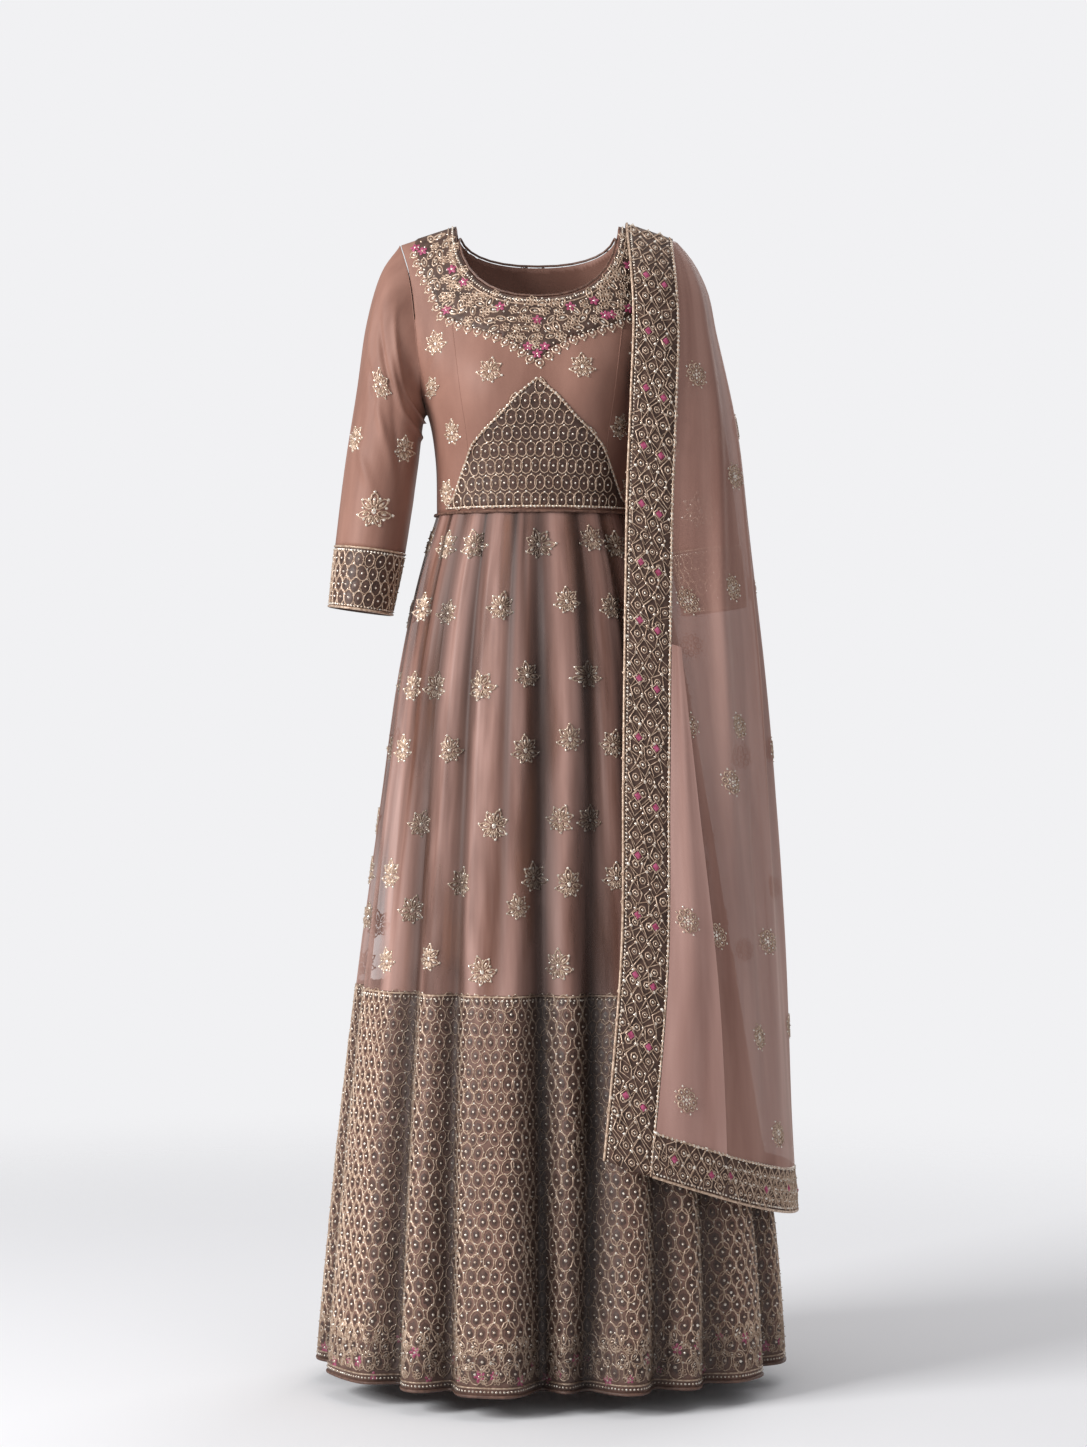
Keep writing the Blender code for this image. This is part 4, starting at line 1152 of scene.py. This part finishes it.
# %% The floral band and the edges of the border
around = np.arange(0, lower.columns + 1)
band_middle = (BORDER_TOP - HEM - BAND / 2) / row_high
flowers = np.linspace(0, lower.columns, round(lower.wide[:, -1].sum() / 0.055), endpoint=False)
offset = rng.uniform(-0.020, 0.020, flowers.shape) / row_high
step = flowers[1] - flowers[0]
small = np.linspace(0, lower.columns, 3 * len(flowers), endpoint=False)
parts = [
    stamp(lower, rose, flowers, band_middle + offset, 1.15, rng.uniform(0, 72, flowers.shape)),
    stamp(lower, rose, flowers + step * rng.uniform(0.3, 0.7, flowers.shape),
          band_middle + rng.uniform(-0.02, 0.026, flowers.shape) / row_high, 0.8),
    stamp(lower, petals(5, 0.0065, leaf), flowers + step / 2, band_middle - 0.002 / row_high, 0.8,
          rng.uniform(0, 60, flowers.shape)),
]
for shift, row, motif, size in ((0.0, -0.022, leaf, 1.0), (0.5, -0.018, gold_flower, 0.8),
                                (0.7, 0.004, leaf, 0.9), (0.2, 0.014, gold_flower, 0.75)):
    at = small + shift * (small[1] - small[0]) + rng.normal(0, 0.5, small.shape)
    parts.append(stamp(lower, motif, at, band_middle + row / row_high, size,
                       rng.uniform(-70, 70, small.shape)))
bottom = lower.rows - 1
for level in (0.002, (BORDER_TOP - HEM) - 0.011):
    parts.append(run(lower, around, level / row_high, 0.0022, 0.0014, closed=True))
# The flowers, beads and piping take the same painted shade in the folds.
joined("hem_flowers", *parts, shade=painted_shade_depth)
joined("hem_beads",
       beads(lower, around, 0.006 / row_high, 0.0052, pearl),
       beads(lower, around, bottom - 0.007 / row_high, 0.0046, pearl), shade=painted_shade_depth)
edge = joined("hem_piping", run(lower, around, bottom - 0.3, 0.0036, 0.0018, 0, closed=True),
              shade=painted_shade_depth)
edge.data.materials[0] = piping_cord

# %% [markdown]
# ## Sprays over the net
# The sprays stand in loose rows, about 75 mm apart. Those in front have listed places, and the
# same rows go on round the sides and back.

# %% Placing a motif from the front view
SPRAY_LIFT = 0.0002       # keeps the sprays clear of the net below them


def place(cloth, x, z, face=-1):
    """The column and row of a cloth nearest to a place in the front view, foremost first."""
    p, n = cloth.points, cloth.normals
    off = (p[..., 0] - x) ** 2 + (p[..., 2] - z) ** 2 + (n[..., 1] * face < 0)
    close = off < max(off.min(), 0.000016) + 1e-9
    choice = np.where(close, p[..., 1] * -face, np.inf)
    return np.unravel_index(choice.argmin(), choice.shape)


SKIRT_SPRAYS = (
    (-0.113, -0.389), (-0.078, -0.392), (0.0, -0.387), (0.068, -0.386), (-0.140, -0.465),
    (-0.107, -0.468), (-0.041, -0.465), (0.036, -0.456), (0.090, -0.465), (-0.151, -0.556),
    (-0.121, -0.557), (-0.069, -0.556), (-0.008, -0.547), (0.064, -0.547),
    (-0.161, -0.630), (-0.100, -0.633), (-0.012, -0.630), (0.040, -0.622), (0.092, -0.628),
    (-0.139, -0.721), (-0.049, -0.722), (0.023, -0.715), (0.065, -0.717),
    (-0.178, -0.782), (-0.089, -0.786), (-0.001, -0.782), (0.038, -0.791), (0.094, -0.784),
    (-0.149, -0.822), (-0.021, -0.818), (-0.180, -0.884), (-0.130, -0.877), (-0.067, -0.888),
    (0.023, -0.883),
)
spots = [place(upper, x, z) for x, z in SKIRT_SPRAYS]
angles = np.arctan2(upper.points[..., 0], -upper.points[..., 1])
for k, z in enumerate((-0.390, -0.465, -0.553, -0.630, -0.718, -0.785, -0.850, -0.890)):
    j = int(np.rint((WAIST - z) / (WAIST - BORDER_TOP) * (upper.rows - 1)))
    length = upper.wide[:, j].cumsum()
    count = int(length[-1] / (0.068 + 0.012 * (k % 3)))
    for n in range(count):
        i = int(np.searchsorted(length, (n + 0.5 * (k % 2)) / count * length[-1]))
        turn = angles[i % upper.columns, j]
        if turn > 0.62 or turn < -1.35:
            spots.append((i, j + int(rng.integers(-2, 3))))
spots = np.array(spots, float)
# The sprays are darkened by painted shade in the skirt's folds.
joined("skirt_sprays", stamp(upper, spray, spots[:, 0], spots[:, 1],
                             rng.normal(1.0, 0.06, len(spots)), rng.normal(0, 10, len(spots)),
                             lift=SPRAY_LIFT), shade=painted_shade_depth)

# %% Sprays on the bodice, sleeves and dupatta
FRONT_SPRAYS = ((-0.125, -0.150), (-0.129, -0.202), (-0.058, -0.185), (-0.105, -0.255),
                (-0.112, -0.326), (0.056, -0.182), (0.100, -0.249), (0.126, -0.160),
                (0.112, -0.322))
BACK_SPRAYS = ((-0.110, -0.110), (0.110, -0.110), (-0.045, -0.135), (0.045, -0.135),
               (-0.085, -0.190), (0.085, -0.190), (0.0, -0.205), (-0.048, -0.255),
               (0.048, -0.255), (-0.098, -0.275), (0.098, -0.275), (0.0, -0.310),
               (-0.075, -0.330), (0.075, -0.330))
for side, name, places in ((-1, "bodice_front_sprays", FRONT_SPRAYS),
                           (1, "bodice_back_sprays", BACK_SPRAYS)):
    at = np.array([place(HALVES[side], x, z, side) for x, z in places], float)
    joined(name, stamp(HALVES[side], spray, at[:, 0], at[:, 1], 0.92,
                       rng.normal(0, 14, len(at)), lift=SPRAY_LIFT))
SLEEVE_SPRAYS = ((0.189, -0.197), (0.222, -0.263), (0.156, -0.275), (0.195, -0.347))
for hand, side in ((1, "left"), (-1, "right")):
    arm = sleeves[hand]
    shown = [place(arm, hand * x, z) for x, z in SLEEVE_SPRAYS]
    behind = [place(arm, hand * x, z, 1) for x, z in ((0.180, -0.150), (0.205, -0.225),
                                                      (0.175, -0.300), (0.215, -0.350))]
    at = np.array(shown + behind, float)
    size = np.array((0.95, 0.95, 0.95, 1.25, 0.95, 0.95, 0.95, 1.2))
    joined(f"sleeve_{side}_sprays", stamp(arm, spray, at[:, 0], at[:, 1], size,
                                          rng.normal(0, 12, len(at)), lift=SPRAY_LIFT))
SIDE_FLOWERS = ((0.191, -0.188), (0.240, -0.307), (0.235, -0.441), (0.182, -0.458),
                (0.177, -0.601), (0.242, -0.606), (0.231, -0.672), (0.210, -0.851),
                (0.277, -0.859), (0.264, -0.970), (0.287, -1.086))
FALLS = (
    ("side", side_net, [place(side_net, x, z) for x, z in SIDE_FLOWERS]
     + [(48, 40), (50, 75), (46, 110), (51, 140), (47, 170)]),
    ("front", front_net, [place(front_net, x, z) for x, z in ((0.176, -0.830), (0.176, -1.038))]),
    ("back", back_net, [(12, 30), (28, 45), (14, 70), (30, 88), (10, 112), (26, 130), (12, 155),
                        (30, 170), (14, 190)]),
)
for name, cloth, spots in FALLS:
    i, j = np.array(spots, float).T
    joined(f"dupatta_{name}_flowers",
           stamp(cloth, round_flower, i, j, lift=SPRAY_LIFT), slot="net")

# %% [markdown]
# ## Cuffs, waist panel and dupatta borders
# These carry the same lattice as the hem at a smaller scale, with a cord and a bead row on each
# edge. On the dupatta, pairs of rose diamonds stand along the border every 75 mm.

# %% Cells over a patch of cloth
def patch(cloth, first, last, top, low, wide, high, keep=None, lift=0.0, motif=cell,
          uneven=1.0):
    """Lattice cells between columns and rows, evenly spaced along the cloth."""
    numbers = np.arange(cloth.columns + 1)
    along = np.concatenate(([0], np.cumsum(cloth.wide[:, int((top + low) / 2)])))
    start, end = np.interp((first, last), numbers, along)
    across = end - start
    down = (low - top) * cloth.high.mean()
    count, rows = max(round(across / wide), 1), max(round(down / high / 0.76), 1)
    i, j = np.meshgrid((np.arange(count) + 0.5) / count, (np.arange(rows) + 0.5) / rows,
                       indexing="ij")
    i = i + np.where(np.arange(rows) % 2, 0.25, -0.25) / count
    i, j = np.interp(start + i.ravel() * across, along, numbers), top + j.ravel() * (low - top)
    if keep is not None:
        chosen = keep(cloth.at(i, j))
        i, j = i[chosen], j[chosen]
    size = across / count / CELL_WIDE * rng.normal(1.0, 0.05 * uneven, i.shape)
    return stamp(cloth, motif, i, j, size, rng.normal(0, 7 * uneven, i.shape), lift)


for hand, side in ((1, "left"), (-1, "right")):
    cuff, last = cuffs[hand], cuffs[hand].rows - 1
    ring_line = np.arange(0, cuff.columns + 1)
    joined(f"cuff_{side}_lattice",
           patch(cuff, 0, cuff.columns, 1.4, last - 1.4, 0.0130, 0.0190, uneven=1.6),
           run(cuff, ring_line, 0.2, 0.0026, 0.0016, closed=True),
           run(cuff, ring_line, last - 0.2, 0.0030, 0.0018, closed=True),
           beads(cuff, ring_line, 1.0, 0.0042, pearl),
           beads(cuff, ring_line, last - 1.0, 0.0042, pearl))


def in_arch(points):
    flat = points[..., [0, 2]]
    shrunk = arch_outline * (0.975, 1.0) + (0, -0.002)
    return inside(flat, shrunk)


def edge_line(cloth, outline, side):
    """Columns and rows of a cloth under an outline in the front view."""
    x, z = outline[:, 0], outline[:, 1]
    points = torso_at(x, z, side)
    away = np.linalg.norm(cloth.points[None] - points[:, None, None], axis=-1)
    best = np.array([np.unravel_index(a.argmin(), a.shape) for a in away], float)
    for _ in range(4):
        i, j = best.T
        off = points - cloth.at(i, j)
        wide, high = cloth.size_at(i, j)
        right = unit(cloth.at(i + 0.5, j) - cloth.at(i - 0.5, j))
        down = unit(cloth.at(i, j + 0.5) - cloth.at(i, j - 0.5))
        best[:, 0] += (off * right).sum(-1) / wide * 0.8
        best[:, 1] += (off * down).sum(-1) / high * 0.8
    return best[:, 0], best[:, 1]


def spaced(outline, pitch):
    """The same line with places at an even pitch."""
    length = run_length(outline)
    wanted = np.arange(0, length[-1], pitch)
    return np.stack([np.interp(wanted, length, outline[:, n]) for n in (0, 1)], -1)


top_line = edge_line(front, spaced(arch, 0.004), -1)
foot = np.array([(x, WAIST + 0.006) for x in np.linspace(-0.108, 0.108, 60)])
foot_line = edge_line(front, foot, -1)
joined("waist_panel_lattice",
       patch(front, 0, front.columns - 1, 30, front.rows - 1.5, 0.0125, 0.0180, in_arch,
             lift=TRIM_LIFT),
       run(front, *top_line, 0.0022, 0.0014, lift=TRIM_LIFT),
       beads(front, *top_line, 0.0058, dome(0.0040, height=0.0022, sides=6), TRIM_LIFT),
       run(front, *foot_line, 0.0022, 0.0014, lift=TRIM_LIFT),
       beads(front, *foot_line, 0.0044, pearl, TRIM_LIFT + 0.001))

# %% The borders of the dupatta
diamond = together(loop(0.0130, 0.0150, 4, width=0.0016),
                   dome(0.0090, 0.0100, 0.0022, sides=4, kind=2))
mesh_cell = together(loop(0.0134, 0.0200, 4, width=0.0012, height=0.0013),
                     loop(0.0056, 0.0064, 6, width=0.0011), dome(0.0026, height=0.0022, sides=5),
                     moved(dome(0.0036, height=0.0024, sides=5), 0.0, 0.0098),
                     moved(dome(0.0026, height=0.0018, sides=4), 0.0058, 0.0))


def border_work(name, cloth, across, down, vertical, roses):
    """Lattice, edge cords and bead rows for a strip; vertical strips carry beads on a long edge."""
    columns, rows = cloth.columns - 1, cloth.rows - 1
    margin = 0.06 * columns if vertical else 0.0
    parts = [patch(cloth, margin, columns - margin, 0.0 if vertical else 1.5,
                   rows if vertical else rows - 1.5, across, down, uneven=2.0, motif=mesh_cell)]
    j_all, i_all = np.linspace(0, rows, 240), np.linspace(0, columns, 120)
    if vertical:
        inner, outer = (0.12, columns - 0.1) if cloth is front_strip else (columns - 0.12, 0.1)
        parts += [run(cloth, inner, j_all, 0.0030, 0.0018),
                  run(cloth, outer, j_all, 0.0022, 0.0014),
                  beads(cloth, outer, j_all, 0.0058, dome(0.0044, height=0.0022, sides=6)),
                  beads(cloth, inner + (0.55 if inner < 1 else -0.55), j_all, 0.0044, pearl)]
    else:
        parts += [run(cloth, i_all, 0.2, 0.0022, 0.0014),
                  run(cloth, i_all, rows - 0.2, 0.0030, 0.0018),
                  beads(cloth, i_all, 0.2, 0.0058, dome(0.0040, height=0.0022, sides=6)),
                  beads(cloth, i_all, rows - 1.2, 0.0044, pearl)]
    if roses:
        i, j = np.array(roses).T * ((columns,), (rows,))
        parts.append(stamp(cloth, diamond, i, j, 1.0, 0.0, lift=0.0012))
    joined(name, *parts)


pairs = [(0.5 + side, row + 0.006 * (side > 0)) for row in np.arange(0.06, 0.99, 0.062)
         for side in (-0.18, 0.2)]
border_work("dupatta_front_border_lattice", front_strip, 0.0160, 0.0230, True, pairs)
border_work("dupatta_back_border_lattice", back_strip, 0.0160, 0.0230, True, pairs)
for name, cloth, count in (("front", front_end, 2), ("side", side_end, 5), ("back", back_end, 4)):
    at = [((n + 0.5) / count, 0.45 + 0.1 * (n % 2)) for n in range(count)]
    border_work(f"dupatta_{name}_end_lattice", cloth, 0.0155, 0.0190, False, at)

# %% [markdown]
# ## The neck yoke
# The yoke is the richest work: scrolls of leaves and gold flowers packed close, rose flowers at
# its corners, a point of three roses over the breast, and rows of beads on the neck edge.

# %% Filling the yokes
FRONT_ROSES = ((-0.138, -0.034), (-0.147, -0.029), (-0.102, -0.059), (-0.088, -0.076),
               (-0.108, -0.110), (-0.044, -0.108), (0.039, -0.108), (0.0, -0.125),
               (-0.011, -0.158), (0.0, -0.167), (0.009, -0.158), (0.088, -0.117),
               (0.080, -0.118), (0.110, -0.054), (0.067, -0.100), (0.108, -0.108),
               (0.138, -0.034))
BACK_ROSES = ((-0.130, -0.030), (-0.100, -0.052), (-0.050, -0.066), (0.0, -0.072),
              (0.050, -0.066), (0.100, -0.052), (0.130, -0.030))


def scatter(outline, pitch, margin):
    """Places over an outline on an uneven triangular grid, clear of its edge."""
    low, high = outline.min(0), outline.max(0)
    x, z = np.meshgrid(np.arange(low[0], high[0], pitch),
                       np.arange(low[1], min(high[1], 0.0), pitch * 0.87), indexing="ij")
    x = x + (np.arange(x.shape[1]) % 2) * pitch / 2
    places = np.stack((x.ravel(), z.ravel()), -1) + rng.normal(0, pitch * 0.12, (x.size, 2))
    keep = inside(places, outline)
    keep &= np.linalg.norm(places - nearest(places, outline), axis=-1) > margin
    keep &= places[:, 1] < ridge(places[:, 0]) - 0.004
    return places[keep]


SCALLOP_OUT = 0.0030      # from the yoke's edge to the middle of a scallop
scallop = together(moved(loop(0.0098, 0.0100, 8, width=0.0018, height=0.0014), 0, SCALLOP_OUT),
                   moved(dome(0.0044, height=0.0026, sides=6), 0, SCALLOP_OUT),
                   moved(pearl, 0, 0.0092))
for side, name, roses in ((-1, "neck_yoke_front_work", FRONT_ROSES),
                          (1, "neck_yoke_back_work", BACK_ROSES)):
    cloth, outline = HALVES[side], yoke_outlines[side]
    fill = scatter(outline, 0.0122, 0.004)
    gap = np.linalg.norm(fill[:, None] - np.array(roses)[None], axis=-1).min(1)
    fill = fill[gap > 0.007]
    i, j = edge_line(cloth, fill, side)
    kinds = rng.integers(0, 4, len(fill))
    rose_i, rose_j = edge_line(cloth, np.array(roses), side)
    neck = spaced(neck_curve(NECKS[side], 0.0045), 0.003)
    neck_two = spaced(neck_curve(NECKS[side], 0.0095), 0.003)
    rim = mirrored(YOKE_EDGE if side < 0 else BACK_YOKE_EDGE)
    rim_at = edge_line(cloth, spaced(rim, 0.003), side)
    parts = [stamp(cloth, motif, i[kinds == k], j[kinds == k], size,
                   rng.uniform(0, 360, (kinds == k).sum()), TRIM_LIFT)
             for k, (motif, size) in enumerate(((gold_flower, 1.0), (small_leaf, 1.15),
                                                (small_leaf, 1.0), (gold_flower, 0.85)))]
    parts += [stamp(cloth, rose, rose_i, rose_j, lift=TRIM_LIFT + 0.0006),
              beads(cloth, *edge_line(cloth, neck, side), 0.0036, pearl, TRIM_LIFT),
              run(cloth, *edge_line(cloth, neck_two, side), 0.0016, 0.0012, lift=TRIM_LIFT),
              beads(cloth, *rim_at, 0.0064, pearl, TRIM_LIFT)]
    rim = spaced(rim, 0.0122)
    ahead = np.gradient(rim, axis=0)
    outward = np.degrees(np.arctan2(-side * ahead[:, 1], ahead[:, 0]))
    parts.append(stamp(cloth, scallop, *edge_line(cloth, rim, side), 1.0, outward, SPRAY_LIFT))
    loose = scatter(outline, 0.0090, 0.001)
    parts.append(stamp(cloth, dome(0.0026, height=0.0022, sides=5),
                       *edge_line(cloth, loose, side), lift=TRIM_LIFT))
    joined(name, *parts)

# %% [markdown]
# ## Piping
# A bias-cut piping finishes the neck edge, and a fine cord covers the waist seam. Both have the
# right form in the CAD already, so they only need a finish.

# %% The piping's finish
for node in ("neck_piping", "waist_cord"):
    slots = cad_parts[node].data.materials
    for index in range(len(slots)):
        slots[index] = piping_cord
    print(node, "keeps its CAD form,", len(slots), "material")

# %% Seams of the bodice and sleeves
THREADS = (body_cloth, piping_cord, piping_cord)
SEAM = (0.0011, 0.0004)   # width and height of a seam's ridge
for side, name in ((-1, "bodice_front_seams"), (1, "bodice_back_seams")):
    cloth = HALVES[side]
    j = np.linspace(2, cloth.rows - 2, 70)
    quarter_column = (cloth.columns - 1) / 4
    lines = [run(cloth, n * quarter_column, j, *SEAM) for n in (1, 3)]
    if side > 0:
        lines.append(run(cloth, 2 * quarter_column, np.linspace(33, cloth.rows - 2, 50), *SEAM))
    joined(name, *lines, slot="bodice_cloth")
for hand, side in ((1, "left"), (-1, "right")):
    arm = sleeves[hand]
    joined(f"armhole_{side}_seam", run(arm, np.arange(arm.columns + 1), 0.15, 0.0012, 0.0005,
                                       closed=True), slot="bodice_cloth")

# %% [markdown]
# ## Stage, light and camera
# The gown hangs just above a pale floor that fades into the pale studio all round, so every
# side shows the same plain ground. One broad soft light stands to the front and left, with weak
# fill from the right, so the folds shade from left to right.

# %% The floor
FLOOR = HEM - 0.027
ground = bmesh.new()
bmesh.ops.create_circle(ground, cap_ends=True, segments=96, radius=3.0)
bmesh.ops.translate(ground, vec=(0, 0, FLOOR), verts=ground.verts)
mesh = bpy.data.meshes.new("floor")
ground.to_mesh(mesh)
ground.free()
floor = linked("floor", mesh)
paper, tree, shader = finish("pale_paper", Roughness=0.9)
shader.inputs["Base Color"].default_value = linear("F0F0F2")
spot = add(tree, "ShaderNodeTexCoord")
flat_spot = add(tree, "ShaderNodeVectorMath", {"operation": "MULTIPLY"}, s0=spot.outputs["Object"],
                s1=(1.0, 1.0, 0.0))
away = add(tree, "ShaderNodeVectorMath", {"operation": "LENGTH"}, s0=flat_spot.outputs[0])
fade = add(tree, "ShaderNodeMapRange", {"interpolation_type": "SMOOTHSTEP"},
           s0=away.outputs["Value"], s1=1.0, s2=2.9, s3=1.0, s4=0.0)
tree.links.new(fade.outputs[0], shader.inputs["Alpha"])
mesh.materials.append(paper)

# %% Lights and camera
def softbox(name, place, aim, power, size):
    """A square area light that faces a point."""
    data = bpy.data.lights.new(name, "AREA")
    data.energy, data.size = power, size
    lamp = linked(name, data)
    lamp.location = place
    toward = np.array(aim) - np.array(place)
    yaw = np.arctan2(toward[1], toward[0]) - pi / 2
    pitch = np.arctan2(toward[2], np.hypot(toward[0], toward[1])) + pi / 2
    lamp.rotation_euler = (pitch, 0, yaw)


softbox("key", (-3.1, -2.2, 0.9), (0, 0, -0.7), 172, 1.8)
softbox("fill", (1.6, -3.6, 0.4), (0, 0, -0.7), 8, 1.6)
softbox("top", (0.3, -0.2, 2.6), (0, 0, -0.9), 20, 2.4)
softbox("back", (1.8, 3.2, 1.0), (0, 0, -0.7), 45, 2.2)
world = bpy.data.worlds.new("studio")
world.use_nodes = True
studio = world.node_tree
shown = studio.nodes["Background"]
shown.inputs[0].default_value, shown.inputs[1].default_value = linear("F1F1F3"), 1.0
soft = add(studio, "ShaderNodeBackground", Color=linear("F4F4F7"), Strength=0.37)
path = add(studio, "ShaderNodeLightPath")
mixed = add(studio, "ShaderNodeMixShader", s0=path.outputs["Is Camera Ray"],
            s1=soft.outputs[0], s2=shown.outputs[0])
studio.links.new(mixed.outputs[0], studio.nodes["World Output"].inputs[0])
bpy.context.scene.world = world

camera_data = bpy.data.cameras.new("camera")
camera = linked("camera", camera_data)
camera.location = (0.0073, -4.0, -0.602)
camera.rotation_euler = (pi / 2, 0, 0)
camera_data.lens = 82.0
bpy.context.scene.camera = camera
bpy.context.scene.view_settings.view_transform = "Standard"
